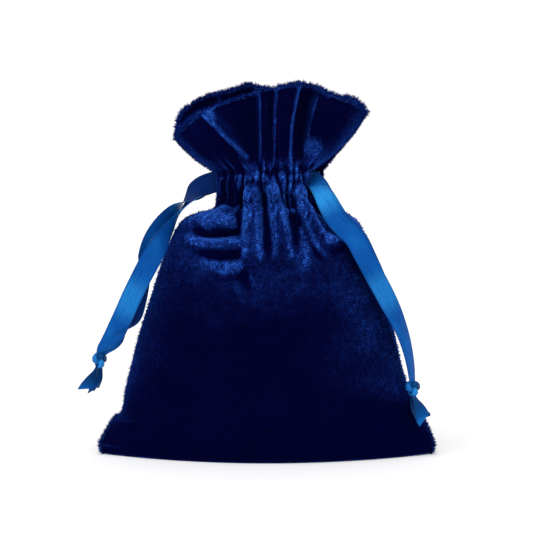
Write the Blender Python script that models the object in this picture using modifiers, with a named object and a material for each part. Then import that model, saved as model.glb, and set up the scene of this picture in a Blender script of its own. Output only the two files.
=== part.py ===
"""Drawstring gift pouch: a small velvet bag with a gathered neck, a flared ruffle and two satin drawstrings.

The pouch stands on its base, filled out and drawn shut. Two panels are sewn together at the sides and along
the bottom. Their tops are folded down inside, and two rows of stitching through both layers make a channel
round the neck. Two ribbons run round in it: one leaves at the left slit and one at the right, and each has
its two ends knotted together. Metres, +Z up, the front towards -Y, the origin in the middle of the base.
"""
from math import copysign, cos, pi, sin

import bmesh
import bpy
from mathutils import Matrix, Vector

# ---------------------------------------------------------------- driving dimensions
BASE_WIDTH = 0.100       # corner to corner
CORNER_WIDTH = 0.0890    # just above the flat corners that the filling doesn't reach
BELLY_WIDTH = 0.0780
FOLD_WIDTH = 0.0615      # where the cloth bends as the mouth opens
SHOULDER_WIDTH = 0.0510
NECK_WIDTH = 0.0320
RIM_WIDTH = 0.0570

BASE_DEPTH = 0.0340
BELLY_DEPTH = 0.0380
FOLD_DEPTH = 0.0310
SHOULDER_DEPTH = 0.0272
NECK_DEPTH = 0.0240
RIM_DEPTH = 0.0300

CORNER_HEIGHT = 0.0130
BELLY_HEIGHT = 0.0360
CHANNEL_BOTTOM = 0.0775
SHOULDER_DROP = 0.0085   # from the channel's lower edge down to the shoulders
FOLD_DROP = 0.0175       # and down to the line where the cloth bends
RIM_HEIGHT = 0.1120

VELVET = 0.0012          # thickness of the cloth with its pile
RIBBON_WIDTH = 0.0060
RIBBON_THICKNESS = 0.0005
THREAD = 0.0008
KNOT_SIZE = Vector((0.0044, 0.0036, 0.0050))

# ---------------------------------------------------------------- fits and details
GAP = 0.0003             # between pieces that touch
TURN_GAP = 0.0004        # between a ribbon's run and its turn
SLIT = 0.0022            # between the front and back tops, where the ribbons come out
SEAM_SLACK = 0.0002      # between the two layers where they are sewn flat along the side seams
ALLOWANCE_WIDTH = 0.0040
ALLOWANCE_THICKNESS = 0.0020
SEAM_LAP = 0.00015       # the bottom seam's ends pass under the side seams by this
BASE_ROUNDING = 0.0012
FACING_LAP = 0.0013      # the facing's raw edge below the channel
FOLDS = 9                # flutes round the ruffle
FOLD_SIZE = 0.0020       # how far they stand in and out at the rim
RUFFLE_GAP = 0.0010      # between the two layers of the ruffle, where their pile meets
RIBBON_SLACK = 0.0004    # above and below the ribbons, to the rows of stitching
END_CLEARANCE = 0.0006   # from a knot to the cut ends below it

FOLD_HEIGHT = CHANNEL_BOTTOM - FOLD_DROP
SHOULDER_HEIGHT = CHANNEL_BOTTOM - SHOULDER_DROP
CHANNEL_HEIGHT = RIBBON_WIDTH + 2 * (RIBBON_SLACK + THREAD + GAP)
CHANNEL_TOP = CHANNEL_BOTTOM + CHANNEL_HEIGHT
CHANNEL_MIDDLE = CHANNEL_BOTTOM + CHANNEL_HEIGHT / 2
SEAM_WALL = 2 * VELVET + SEAM_SLACK
RIBBON_PITCH = RIBBON_THICKNESS + GAP
OUTER_LOOP_INSET = VELVET + GAP + RIBBON_THICKNESS / 2
INNER_LOOP_INSET = OUTER_LOOP_INSET + RIBBON_PITCH
CHANNEL_FACING_INSET = INNER_LOOP_INSET + RIBBON_THICKNESS / 2 + GAP + VELVET / 2
RUFFLE_FACING_INSET = VELVET + RUFFLE_GAP + VELVET / 2
FACING_STEP = CHANNEL_HEIGHT * 0.45     # above the channel, where the facing comes back to the outer layer
THREAD_INSET = (VELVET + CHANNEL_FACING_INSET - VELVET / 2) / 2
THREAD_FROM_EDGE = THREAD / 2 + GAP     # a row's middle, inside the channel's edge
SIDE_SEAM_FOOT = VELVET + GAP + ALLOWANCE_WIDTH + GAP   # the side seams start above the bottom seam

SECTION_POINTS = 48      # round the form; every layer shares these and the ring heights, so that they nest
RING_STEP = 0.0060
HALF_COLUMNS = range(1, SECTION_POINTS // 2)    # the angles of a layer inside the neck, between the slits
FAR = 0.2                # half the size of a block that cuts everything on one side

# Height, width, depth, and how pointed the section is at the side seams (1 is an ellipse).
STATIONS = [
    (0.0, BASE_WIDTH, BASE_DEPTH, 2.0),
    (CORNER_HEIGHT * 0.35, BASE_WIDTH * 0.985, BASE_DEPTH * 1.03, 1.9),
    (CORNER_HEIGHT, CORNER_WIDTH, (BASE_DEPTH + BELLY_DEPTH) / 2, 1.6),
    (BELLY_HEIGHT, BELLY_WIDTH, BELLY_DEPTH, 1.4),
    (FOLD_HEIGHT, FOLD_WIDTH, FOLD_DEPTH, 1.25),
    (SHOULDER_HEIGHT, SHOULDER_WIDTH, SHOULDER_DEPTH, 1.1),
    (CHANNEL_BOTTOM, NECK_WIDTH, NECK_DEPTH, 1.0),
    (CHANNEL_TOP, NECK_WIDTH, NECK_DEPTH, 1.0),
    (RIM_HEIGHT, RIM_WIDTH, RIM_DEPTH, 1.0),
]

# Ribbon routes, in millimetres, from the slit to the knot. The front strand hangs nearer the viewer.
LEFT_FRONT = [(-15.8, -0.4, 81.8), (-19.2, -0.7, 80.4), (-22.4, -1.8, 77.0), (-25.8, -2.8, 73.0),
              (-28.8, -3.8, 68.6), (-31.8, -4.6, 64.0), (-34.4, -5.2, 59.2), (-37.2, -5.6, 54.0),
              (-40.0, -5.6, 48.4), (-42.6, -5.2, 42.6), (-45.2, -4.6, 37.2), (-47.6, -3.8, 34.0),
              (-49.2, -3.2, 32.2)]
LEFT_BACK = [(-15.8, 0.4, 81.8), (-19.2, 0.7, 80.6), (-22.8, 0.9, 77.6), (-26.6, 0.8, 74.2),
             (-30.4, 0.6, 70.0), (-33.6, 0.0, 65.4), (-35.6, -0.8, 60.8), (-36.8, -1.6, 56.0),
             (-37.8, -2.4, 51.2), (-38.8, -3.0, 46.6), (-40.2, -3.2, 42.0), (-42.2, -3.0, 38.2),
             (-45.0, -2.6, 34.8), (-48.2, -1.9, 32.0)]
RIGHT_FRONT = [(16.5, -0.4, 82.0), (19.7, -1.2, 81.2), (21.3, -5.2, 77.6), (23.2, -9.2, 71.8),
               (25.6, -11.0, 66.2), (28.8, -11.6, 60.6), (32.0, -11.0, 54.6), (35.2, -9.8, 48.6),
               (38.2, -8.4, 42.6), (40.4, -7.2, 37.2), (41.9, -6.6, 32.0), (42.8, -6.1, 27.4),
               (43.2, -5.7, 24.0)]
RIGHT_BACK = [(16.5, 0.4, 82.0), (19.6, -0.2, 80.8), (21.8, -3.6, 76.8), (24.2, -7.0, 71.4),
              (26.8, -9.2, 65.6), (29.8, -9.8, 59.8), (32.6, -9.2, 53.8), (35.4, -8.0, 47.8),
              (37.6, -6.4, 42.0), (39.4, -5.2, 36.8), (41.0, -4.7, 32.0), (42.2, -4.5, 27.4),
              (43.0, -4.4, 24.0)]
# The knots hang from these places, just below the strands.
LEFT_KNOT = Vector((-0.0500, -0.0025, 0.0313)) - Vector((0, 0, KNOT_SIZE.z / 2))
RIGHT_KNOT = Vector((0.0435, -0.0050, 0.0232)) - Vector((0, 0, KNOT_SIZE.z / 2))
# The cut ends, in millimetres, from a place END_CLEARANCE below each knot.
LEFT_ENDS = [[(-0.9, -0.7, 0.0), (-2.2, -0.9, -2.5), (-3.8, -1.0, -5.5)],
             [(-0.1, 0.7, -0.1), (-0.6, 0.9, -2.5), (-1.8, 1.0, -5.9)]]
RIGHT_ENDS = [[(0.6, -0.7, 0.0), (2.0, -0.9, -2.9), (3.4, -1.0, -6.3)],
              [(0.2, 0.7, 0.0), (0.6, 0.9, -2.7), (1.6, 1.0, -5.5)]]
STRAND_STEP = 0.004
PINCH = 0.36             # a ribbon's share of its width where the knot gathers it


# ---------------------------------------------------------------- scene and materials
def clear_scene():
    for obj in list(bpy.data.objects):
        bpy.data.objects.remove(obj)


def new_collection(name):
    collection = bpy.data.collections.new(name)
    bpy.context.scene.collection.children.link(collection)
    return collection


def new_material(name, colour, roughness, metallic=0.0):
    material = bpy.data.materials.new(name)
    material.use_nodes = True
    shader = material.node_tree.nodes["Principled BSDF"]
    shader.inputs["Base Color"].default_value = (*colour, 1)
    shader.inputs["Roughness"].default_value = roughness
    shader.inputs["Metallic"].default_value = metallic
    return material


# ---------------------------------------------------------------- the pouch's form
def between_stations(height, column):
    """A station value at a height, on a smooth curve that never overshoots its stations."""
    heights = [station[0] for station in STATIONS]
    values = [station[column] for station in STATIONS]
    slopes = [(values[i + 1] - values[i]) / (heights[i + 1] - heights[i]) for i in range(len(values) - 1)]
    tangents = [slopes[0]]
    for before, after in zip(slopes, slopes[1:]):
        tangents.append(0.0 if before * after <= 0 else 2 * before * after / (before + after))
    tangents.append(slopes[-1])
    height = min(max(height, heights[0]), heights[-1])
    i = max(k for k in range(len(slopes)) if heights[k] <= height)
    span = heights[i + 1] - heights[i]
    t = (height - heights[i]) / span
    return (values[i] * (1 + 2 * t) * (1 - t) ** 2 + values[i + 1] * t * t * (3 - 2 * t)
            + span * (tangents[i] * t * (1 - t) ** 2 - tangents[i + 1] * t * t * (1 - t)))


def form_point(height, angle, inset, side_inset=None):
    """A point of the pouch's form at an angle in radians (0 is the right seam, the front is below 0)."""
    half_width = between_stations(height, 1) / 2 - (inset if side_inset is None else side_inset)
    half_depth = between_stations(height, 2) / 2 - inset
    power = between_stations(height, 3)
    x = half_width * cos(angle)
    y = copysign(half_depth * abs(sin(angle)) ** power, sin(angle))
    flute = FOLD_SIZE * max(0.0, (height - CHANNEL_TOP) / (RIM_HEIGHT - CHANNEL_TOP)) * cos(FOLDS * angle)
    outward = Vector((x, y, 0)).normalized()
    return Vector((x, y, height)) + outward * flute


def form_heights(low, high):
    """The form's ring heights from low to high."""
    levels = []
    for (start, *_), (end, *_) in zip(STATIONS, STATIONS[1:]):
        count = max(1, round((end - start) / RING_STEP))
        levels += [start + (end - start) * i / count for i in range(count)]
    margin = RING_STEP / 8
    return [low] + [level for level in levels if low + margin < level < high - margin] + [high]


def column_angle(column):
    return 2 * pi * column / SECTION_POINTS


# ---------------------------------------------------------------- mesh helpers
def add_object(name, mesh, collection, material=None):
    obj = bpy.data.objects.new(name, mesh)
    collection.objects.link(obj)
    if material:
        mesh.materials.append(material)
    return obj


def shade_round(mesh):
    mesh.shade_smooth()
    mesh.set_sharp_from_angle(angle=pi / 4)


def closed_form(name, rings, collection):
    """A solid through closed rings of points, with a flat cap at each end. It starts as a grid whose sides
    are welded into a tube."""
    columns, rows = len(rings[0]), len(rings)
    bm = bmesh.new()
    bmesh.ops.create_grid(bm, x_segments=columns, y_segments=rows - 1, size=1)
    for vertex in bm.verts:
        column = round((vertex.co.x + 1) / 2 * columns) % columns
        row = round((vertex.co.y + 1) / 2 * (rows - 1))
        vertex.co = rings[row][column]
    bmesh.ops.remove_doubles(bm, verts=bm.verts, dist=1e-6)
    bmesh.ops.holes_fill(bm, edges=[e for e in bm.edges if e.is_boundary], sides=0)
    bmesh.ops.recalc_face_normals(bm, faces=bm.faces)
    mesh = bpy.data.meshes.new(name)
    bm.to_mesh(mesh)
    bm.free()
    return add_object(name, mesh, collection)


def thin_sheet(name, columns, rows, place, thickness, collection, material):
    """A sheet of even thickness: a grid whose point (column, row) is moved to place(column, row), with
    Solidify on both sides of it."""
    bm = bmesh.new()
    bmesh.ops.create_grid(bm, x_segments=columns, y_segments=rows, size=1)
    for vertex in bm.verts:
        vertex.co = place(round((vertex.co.x + 1) / 2 * columns), round((vertex.co.y + 1) / 2 * rows))
    bmesh.ops.recalc_face_normals(bm, faces=bm.faces)
    mesh = bpy.data.meshes.new(name)
    bm.to_mesh(mesh)
    bm.free()
    shade_round(mesh)
    obj = add_object(name, mesh, collection, material)
    solidify = obj.modifiers.new("thickness", "SOLIDIFY")
    solidify.thickness = thickness
    solidify.offset = 0
    return obj


def block(name, low, high, collection):
    """A cutter that fills a box."""
    bm = bmesh.new()
    bmesh.ops.create_cube(bm, size=1)
    low, high = Vector(low), Vector(high)
    for vertex in bm.verts:
        vertex.co = (low + high) / 2 + Vector(a * b for a, b in zip(vertex.co, high - low))
    mesh = bpy.data.meshes.new(name)
    bm.to_mesh(mesh)
    bm.free()
    return add_object(name, mesh, collection)


def add_boolean(obj, other, operation):
    boolean = obj.modifiers.new(operation.lower(), "BOOLEAN")
    boolean.operation = operation
    boolean.object = other
    boolean.solver = "EXACT"


# ---------------------------------------------------------------- velvet
def build_velvet(parts, helpers, velvet):
    """The outer layer: front and back panels below the fold line, front and back tops above it."""
    heights = form_heights(BASE_ROUNDING, RIM_HEIGHT)
    angles = [column_angle(column) for column in range(SECTION_POINTS)]
    foot = [form_point(0, angle, BASE_ROUNDING) for angle in angles]
    rings = [foot] + [[form_point(height, angle, 0) for angle in angles] for height in heights]
    outside = closed_form("outside_form", rings, helpers)

    rings = []
    for height in form_heights(VELVET, RIM_HEIGHT):
        share = min(1.0, max(0.0, (CHANNEL_BOTTOM - height) / (CHANNEL_BOTTOM - FOLD_HEIGHT)))
        side = VELVET + (SEAM_WALL - VELVET) * share
        rings.append([form_point(height, angle, VELVET, side) for angle in angles])
    rings.append([point + Vector((0, 0, RING_STEP)) for point in rings[-1]])
    hollow = closed_form("hollow_form", rings, helpers)

    low, split, high = -FAR, FOLD_HEIGHT, FAR
    regions = {
        "front_panel": ((-FAR, -FAR, low), (FAR, -GAP / 2, split - GAP / 2)),
        "back_panel": ((-FAR, GAP / 2, low), (FAR, FAR, split - GAP / 2)),
        "front_top": ((-FAR, -FAR, split + GAP / 2), (FAR, -GAP / 2, high)),
        "back_top": ((-FAR, GAP / 2, split + GAP / 2), (FAR, FAR, high)),
    }
    slit = block("slit_block", (-FAR, -SLIT / 2, CHANNEL_BOTTOM), (FAR, SLIT / 2, high), helpers)
    for name, (lowest, highest) in regions.items():
        obj = add_object(name, outside.data.copy(), parts, velvet)
        shade_round(obj.data)
        add_boolean(obj, hollow, "DIFFERENCE")
        add_boolean(obj, block(name + "_block", lowest, highest, helpers), "INTERSECT")
        if name.endswith("top"):
            add_boolean(obj, slit, "DIFFERENCE")


def facing_inset(height):
    """The facing stands off behind the ribbons in the channel and lies close to the outer layer above it."""
    share = min(1.0, max(0.0, (height - CHANNEL_TOP) / FACING_STEP))
    return CHANNEL_FACING_INSET + (RUFFLE_FACING_INSET - CHANNEL_FACING_INSET) * share


def build_facings(parts, backing):
    """The tops of the panels, folded down inside: the ruffle's lining and the channel's inner wall."""
    heights = form_heights(CHANNEL_BOTTOM - FACING_LAP, RIM_HEIGHT)
    for name, side in (("front_facing", -1), ("back_facing", 1)):
        def place(column, row, side=side):
            angle = side * column_angle(HALF_COLUMNS[column])
            return form_point(heights[row], angle, facing_inset(heights[row]))
        thin_sheet(name, len(HALF_COLUMNS) - 1, len(heights) - 1, place, VELVET, parts, backing)


# ---------------------------------------------------------------- seams and stitching
def seam_edge(height):
    """How far from the middle a side seam's allowance starts. It runs inwards from there."""
    corner = max(0.0, 1 - height / CORNER_HEIGHT)
    wall = SEAM_WALL + ALLOWANCE_THICKNESS * (1 + 2.2 * corner)
    return form_point(height, 0, wall).x


def build_side_seams(parts, backing):
    """The seam allowances inside: both layers, turned in and overlocked."""
    heights = form_heights(SIDE_SEAM_FOOT, FOLD_HEIGHT - ALLOWANCE_THICKNESS)
    for name, side in (("left_side_seam", -1), ("right_side_seam", 1)):
        def place(column, row, side=side):
            edge = seam_edge(heights[row])
            return Vector((side * (edge - ALLOWANCE_WIDTH * column), 0, heights[row]))
        thin_sheet(name, 1, len(heights) - 1, place, ALLOWANCE_THICKNESS, parts, backing)


def build_bottom_seam(parts, backing):
    """The seam allowance that stands along the middle of the base, inside."""
    half = seam_edge(SIDE_SEAM_FOOT) - ALLOWANCE_WIDTH + SEAM_LAP
    low = VELVET + GAP
    columns = 8

    def place(column, row):
        return Vector((half * (2 * column / columns - 1), 0, low + ALLOWANCE_WIDTH * row))
    thin_sheet("bottom_seam", columns, 1, place, ALLOWANCE_THICKNESS, parts, backing)


def build_stitching(parts, thread):
    """Two rows through both layers of each half, at the channel's lower and upper edges."""
    rows = {"lower": CHANNEL_BOTTOM + THREAD_FROM_EDGE, "upper": CHANNEL_TOP - THREAD_FROM_EDGE}
    for half, side in (("front", -1), ("back", 1)):
        for row, height in rows.items():
            angles = [side * column_angle(column) for column in HALF_COLUMNS]
            route = [form_point(height, angle, THREAD_INSET) for angle in angles]
            curve = bpy.data.curves.new(f"{half}_{row}_stitching", "CURVE")
            curve.dimensions = "3D"
            curve.bevel_depth = THREAD / 2
            curve.bevel_resolution = 2
            curve.use_fill_caps = True
            spline = curve.splines.new("POLY")
            spline.points.add(len(route) - 1)
            for point, place in zip(spline.points, route):
                point.co = (*place, 1)
            curve.materials.append(thread)
            obj = bpy.data.objects.new(curve.name, curve)
            parts.objects.link(obj)


# ---------------------------------------------------------------- ribbons
def build_loops(parts, satin):
    """Each ribbon's hidden way round the neck: a run through the front channel, a run through the back one,
    and the short turn between them across the slit on the far side from its exit."""
    loops = {"left": (OUTER_LOOP_INSET, 0), "right": (INNER_LOOP_INSET, pi)}
    for side, (inset, turn_angle) in loops.items():
        def height(row):
            return CHANNEL_MIDDLE + RIBBON_WIDTH * (row - 0.5)

        for half, sign in (("front", -1), ("back", 1)):
            def run(column, row, inset=inset, sign=sign):
                return form_point(height(row), sign * column_angle(HALF_COLUMNS[column]), inset)
            name = f"{side}_ribbon_{half}_run"
            thin_sheet(name, len(HALF_COLUMNS) - 1, 1, run, RIBBON_THICKNESS, parts, satin)

        reach = column_angle(HALF_COLUMNS[0]) - TURN_GAP / (NECK_DEPTH / 2 - INNER_LOOP_INSET)

        def turn(column, row, inset=inset, turn_angle=turn_angle):
            return form_point(height(row), turn_angle + reach * (column - 1), inset)
        thin_sheet(f"{side}_ribbon_turn", 2, 1, turn, RIBBON_THICKNESS, parts, satin)


def smooth_route(points, step):
    """Points about a step apart on one smooth curve through the given ones, all in metres."""
    points = [Vector(p) * 0.001 for p in points]
    ends = [2 * points[0] - points[1]] + points + [2 * points[-1] - points[-2]]
    fine = []
    for a, b, c, d in zip(ends, ends[1:], ends[2:], ends[3:]):
        for i in range(16):
            t = i / 16
            fine.append(0.5 * (2 * b + (c - a) * t + (2 * a - 5 * b + 4 * c - d) * t * t
                               + (3 * b - a - 3 * c + d) * t ** 3))
    fine.append(points[-1])
    total = sum((b - a).length for a, b in zip(fine, fine[1:]))
    count = max(2, round(total / step))
    route, travelled, want = [fine[0]], 0.0, 1
    for a, b in zip(fine, fine[1:]):
        travelled += (b - a).length
        if travelled >= total * want / count - 1e-9 and want < count:
            route.append(b)
            want += 1
    return route + [fine[-1]]


def ribbon_strip(name, route, half_width, parts, satin):
    """A flat ribbon along a route, its broad face towards the front. half_width(share) narrows it."""
    last = len(route) - 1

    def place(column, row):
        along = (route[min(row + 1, last)] - route[max(row - 1, 0)]).normalized()
        across = along.cross(Vector((0, -1, 0))).normalized()
        return route[row] + across * half_width(row / last) * (column - 1)
    thin_sheet(name, 2, last, place, RIBBON_THICKNESS, parts, satin)


def build_strands(parts, satin):
    """The free strands from the slits to the knots, which pinch them."""
    def strand_width(share):
        narrowing = max(0.0, (share - 0.8) / 0.2)
        return RIBBON_WIDTH / 2 * (1 - (1 - PINCH) * narrowing)

    strands = {"left_ribbon_front_strand": LEFT_FRONT, "left_ribbon_back_strand": LEFT_BACK,
               "right_ribbon_front_strand": RIGHT_FRONT, "right_ribbon_back_strand": RIGHT_BACK}
    for name, points in strands.items():
        ribbon_strip(name, smooth_route(points, STRAND_STEP), strand_width, parts, satin)


def build_knots(parts, satin):
    """The overhand knots that tie each ribbon's two ends together."""
    for side, centre in (("left", LEFT_KNOT), ("right", RIGHT_KNOT)):
        bm = bmesh.new()
        bmesh.ops.create_uvsphere(bm, u_segments=14, v_segments=9, radius=0.5)
        for vertex in bm.verts:
            vertex.co = Vector(a * b for a, b in zip(vertex.co, KNOT_SIZE))
        mesh = bpy.data.meshes.new(f"{side}_ribbon_knot")
        bm.to_mesh(mesh)
        bm.free()
        shade_round(mesh)
        knot = add_object(mesh.name, mesh, parts, satin)
        knot.location = centre


def build_cut_ends(parts, satin):
    """The short ends below each knot."""
    def end_width(share):
        return RIBBON_WIDTH / 2 * (PINCH + (0.8 - PINCH) * share)

    for side, centre, ends in (("left", LEFT_KNOT, LEFT_ENDS), ("right", RIGHT_KNOT, RIGHT_ENDS)):
        start = centre - Vector((0, 0, KNOT_SIZE.z / 2 + END_CLEARANCE))
        for half, points in zip(("front", "back"), ends):
            placed = [Vector(point) + start * 1000 for point in points]
            route = smooth_route(placed, STRAND_STEP / 2)
            ribbon_strip(f"{side}_ribbon_{half}_end", route, end_width, parts, satin)


# ---------------------------------------------------------------- the whole pouch
def add_axis(name, place, collection, parent=None):
    """An empty on a joint's axis, which the pieces that move together hang from."""
    axis = bpy.data.objects.new(name, None)
    axis.empty_display_size = RIBBON_WIDTH
    collection.objects.link(axis)
    axis.location = place if parent is None else place - parent.location
    axis.parent = parent
    return axis


def hang(pieces, axis, place):
    for name in pieces:
        piece = bpy.data.objects[name]
        piece.parent = axis
        piece.matrix_parent_inverse = Matrix.Translation(place).inverted()


def hang_on_axes(parts):
    """The mouth's two halves bend about the fold line, the tails swing at the slits, and the knots slide
    along their tails as the neck lets ribbon out or takes it in."""
    depth = form_point(FOLD_HEIGHT, pi / 2, 0).y
    for half, side in (("front", -1), ("back", 1)):
        place = Vector((0, side * depth, FOLD_HEIGHT))
        pieces = ["top", "facing", "upper_stitching", "lower_stitching"]
        names = [f"{half}_{piece}" for piece in pieces]
        names += [f"left_ribbon_{half}_run", f"right_ribbon_{half}_run"]
        hang(names, add_axis(f"{half}_mouth_axis", place, parts), place)
        print(f"{half} mouth turns about X at", tuple(round(c, 5) for c in place))
    for side, points, knot in (("left", LEFT_FRONT, LEFT_KNOT), ("right", RIGHT_FRONT, RIGHT_KNOT)):
        slit = Vector((points[0][0], 0, points[0][2])) * 0.001
        tail = add_axis(f"{side}_tail_axis", slit, parts)
        hang([f"{side}_ribbon_front_strand", f"{side}_ribbon_back_strand"], tail, slit)
        knot_axis = add_axis(f"{side}_knot_axis", knot, parts, parent=tail)
        names = [f"{side}_ribbon_knot", f"{side}_ribbon_front_end", f"{side}_ribbon_back_end"]
        hang(names, knot_axis, knot)
        print(f"{side} tail swings about Y at", tuple(round(c, 5) for c in slit))


def main():
    clear_scene()
    parts = new_collection("drawstring_pouch")
    helpers = new_collection("cutters")
    velvet = new_material("blue_velvet", (0.004, 0.006, 0.11), 0.85)
    backing = new_material("velvet_facing", (0.004, 0.006, 0.09), 0.9)
    thread = new_material("blue_thread", (0.005, 0.012, 0.16), 0.6)
    satin = new_material("satin_ribbon", (0.004, 0.09, 0.36), 0.35)
    build_velvet(parts, helpers, velvet)
    build_facings(parts, backing)
    build_side_seams(parts, backing)
    build_bottom_seam(parts, backing)
    build_stitching(parts, thread)
    build_loops(parts, satin)
    build_strands(parts, satin)
    build_knots(parts, satin)
    build_cut_ends(parts, satin)
    for cutter in helpers.objects:
        cutter.hide_render = True
        cutter.display_type = "WIRE"
    hang_on_axes(parts)


main()
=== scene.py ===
# %% [markdown]
# # A drawstring gift pouch
# A small bag of royal blue velvet stands filled on its base. Its neck is gathered by two satin ribbons that
# run through a sewn channel, and above the channel the cloth opens into a ruffle. This lesson builds it on
# a frame of rigid parts that already has the true size, the joints and the ribbons' routes. The frame
# decides where things are; each cell decides how one piece looks, and why it is made that way.

# %% Load the frame
from math import cos, pi, radians, sin

import bmesh
import bpy
import numpy as np
from mathutils import Euler, Matrix, Vector, noise


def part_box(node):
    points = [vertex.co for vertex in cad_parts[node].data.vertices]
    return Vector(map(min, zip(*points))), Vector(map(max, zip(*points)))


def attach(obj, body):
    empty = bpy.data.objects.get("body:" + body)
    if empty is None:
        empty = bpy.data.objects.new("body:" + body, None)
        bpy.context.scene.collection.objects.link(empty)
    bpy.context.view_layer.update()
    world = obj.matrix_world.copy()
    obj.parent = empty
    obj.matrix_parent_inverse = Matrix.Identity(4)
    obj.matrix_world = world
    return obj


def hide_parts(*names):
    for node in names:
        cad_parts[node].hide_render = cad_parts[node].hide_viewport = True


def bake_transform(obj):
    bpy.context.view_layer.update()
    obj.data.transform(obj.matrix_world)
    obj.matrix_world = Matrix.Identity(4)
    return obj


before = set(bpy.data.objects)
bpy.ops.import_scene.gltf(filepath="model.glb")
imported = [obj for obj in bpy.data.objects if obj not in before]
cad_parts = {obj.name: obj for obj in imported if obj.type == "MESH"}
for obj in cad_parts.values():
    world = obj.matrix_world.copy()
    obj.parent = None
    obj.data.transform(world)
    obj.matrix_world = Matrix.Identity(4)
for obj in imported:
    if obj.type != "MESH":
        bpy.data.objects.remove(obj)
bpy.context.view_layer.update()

# %% [markdown]
# ## Camera
# The pouch is looked at straight from the front and a little from above, with a long lens, so its sides
# stay nearly parallel. The lens is worked out from how wide a strip of the scene has to fit the picture.

# %% Camera
MM = 0.001
VIEW_WIDTH = 164.2 * MM
VIEW_CENTRE = Vector((2.4, 0, 54.0)) * MM
CAMERA_DISTANCE = 0.85
CAMERA_ELEVATION = radians(6)
SENSOR = 36.0

camera_data = bpy.data.cameras.new("camera")
camera_data.sensor_width = SENSOR
camera_data.lens = SENSOR * CAMERA_DISTANCE / VIEW_WIDTH
camera = bpy.data.objects.new("camera", camera_data)
camera.location = VIEW_CENTRE + CAMERA_DISTANCE * Vector((0, -cos(CAMERA_ELEVATION), sin(CAMERA_ELEVATION)))
camera.rotation_euler = Euler((pi / 2 - CAMERA_ELEVATION, 0, 0))
bpy.context.scene.collection.objects.link(camera)
bpy.context.scene.camera = camera
print(f"lens {camera_data.lens:.0f} mm")

# %% [markdown]
# ## Small tools
# A smooth curve through a few stops serves every outline here, and it never swings past its stops. Cloth
# and ribbon start as a flat grid from bmesh, whose vertices are then moved to their places, the way cloth
# is first woven flat. Solidify gives the thickness, and it is applied, so that the mesh is final before it
# is bound to the bodies that move.


# %% Curves through stops
def along(stops, at):
    """Values at the places at, on smooth curves through stops of (place, value, value, ...)."""
    stops = np.array(stops, float)
    place, values = stops[:, 0], stops[:, 1:]
    slope = np.diff(values, axis=0) / np.diff(place)[:, None]
    before, after = slope[:-1], slope[1:]
    same_way = before * after > 0
    inner = np.where(same_way, 2 * before * after / np.where(same_way, before + after, 1), 0)
    tangent = np.vstack([slope[:1], inner, slope[-1:]])
    at = np.clip(np.asarray(at, float), place[0], place[-1])
    i = np.clip(np.searchsorted(place, at, side="right") - 1, 0, len(place) - 2)
    span = (place[i + 1] - place[i])[..., None]
    u = (at - place[i])[..., None] / span
    return (values[i] * (1 + 2 * u) * (1 - u) ** 2 + values[i + 1] * u * u * (3 - 2 * u)
            + span * (tangent[i] * u * (1 - u) ** 2 - tangent[i + 1] * u * u * (1 - u)))


def smooth_step(value, low, high):
    """0 below low, 1 above high, and a smooth rise between them."""
    t = np.clip((value - low) / (high - low), 0, 1)
    return t * t * (3 - 2 * t)


def lengths_along(points):
    """How far along a line of points each one is."""
    return np.concatenate([[0], np.cumsum(np.linalg.norm(np.diff(points, axis=0), axis=1))])


def route_through(points, step):
    """Points step apart on one smooth curve through the given ones."""
    points = [Vector(p) for p in points]
    ends = [2 * points[0] - points[1]] + points + [2 * points[-1] - points[-2]]
    fine = []
    for a, b, c, d in zip(ends, ends[1:], ends[2:], ends[3:]):
        for i in range(24):
            t = i / 24
            fine.append(0.5 * (2 * b + (c - a) * t + (2 * a - 5 * b + 4 * c - d) * t * t
                               + (3 * b - a - 3 * c + d) * t ** 3))
    fine = np.array(fine + [points[-1]])
    length = lengths_along(fine)
    count = max(2, round(length[-1] / step))
    places = np.linspace(0, length[-1], count + 1)
    return np.stack([np.interp(places, length, fine[:, k]) for k in range(3)], axis=1)


# %% Grids, thickness and joining
def new_piece(name, bm, smooth=True):
    """An object in the scene with the mesh that was built in bm."""
    mesh = bpy.data.meshes.new(name)
    bm.to_mesh(mesh)
    bm.free()
    if smooth:
        mesh.shade_smooth()
    piece = bpy.data.objects.new(name, mesh)
    bpy.context.scene.collection.objects.link(piece)
    return piece


def place_grid(bm, points, uv=None):
    """Adds a grid to bm and moves each vertex to its place in points, an array (rows, columns, 3)."""
    rows, columns = points.shape[:2]
    made = bmesh.ops.create_grid(bm, x_segments=columns - 1, y_segments=rows - 1, size=1)["verts"]
    made.sort(key=lambda vertex: (round((vertex.co.y + 1) * rows), vertex.co.x))
    for i, vertex in enumerate(made):
        vertex.co = points[i // columns, i % columns]
        vertex.index = i
    if uv is not None:
        layer = bm.loops.layers.uv.verify()
        for i, vertex in enumerate(made):
            for loop in vertex.link_loops:
                loop[layer].uv = uv[i // columns, i % columns]
    return made


def apply_modifiers(piece):
    """Makes the mesh what the modifiers make of it."""
    bpy.context.view_layer.update()
    graph = bpy.context.evaluated_depsgraph_get()
    final = bpy.data.meshes.new_from_object(piece.evaluated_get(graph))
    final.name = piece.data.name
    piece.modifiers.clear()
    piece.data = final


def cloth_piece(name, points, thickness, uv=None, pile=None):
    """A thin closed sheet with a grid of points as its outer face, in metres. pile is a number per point,
    which carries painted highlight and shade.
    """
    bm = bmesh.new()
    layer = bm.verts.layers.float.new("pile") if pile is not None else None
    made = place_grid(bm, points, uv)
    if pile is not None:
        columns = pile.shape[1]
        for i, vertex in enumerate(made):
            vertex[layer] = pile[i // columns, i % columns]
    piece = new_piece(name, bm)
    solidify = piece.modifiers.new("thickness", "SOLIDIFY")
    solidify.thickness = thickness
    solidify.offset = -1
    solidify.use_rim = True
    apply_modifiers(piece)
    piece.data.set_sharp_from_angle(angle=radians(60))
    return piece


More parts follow.
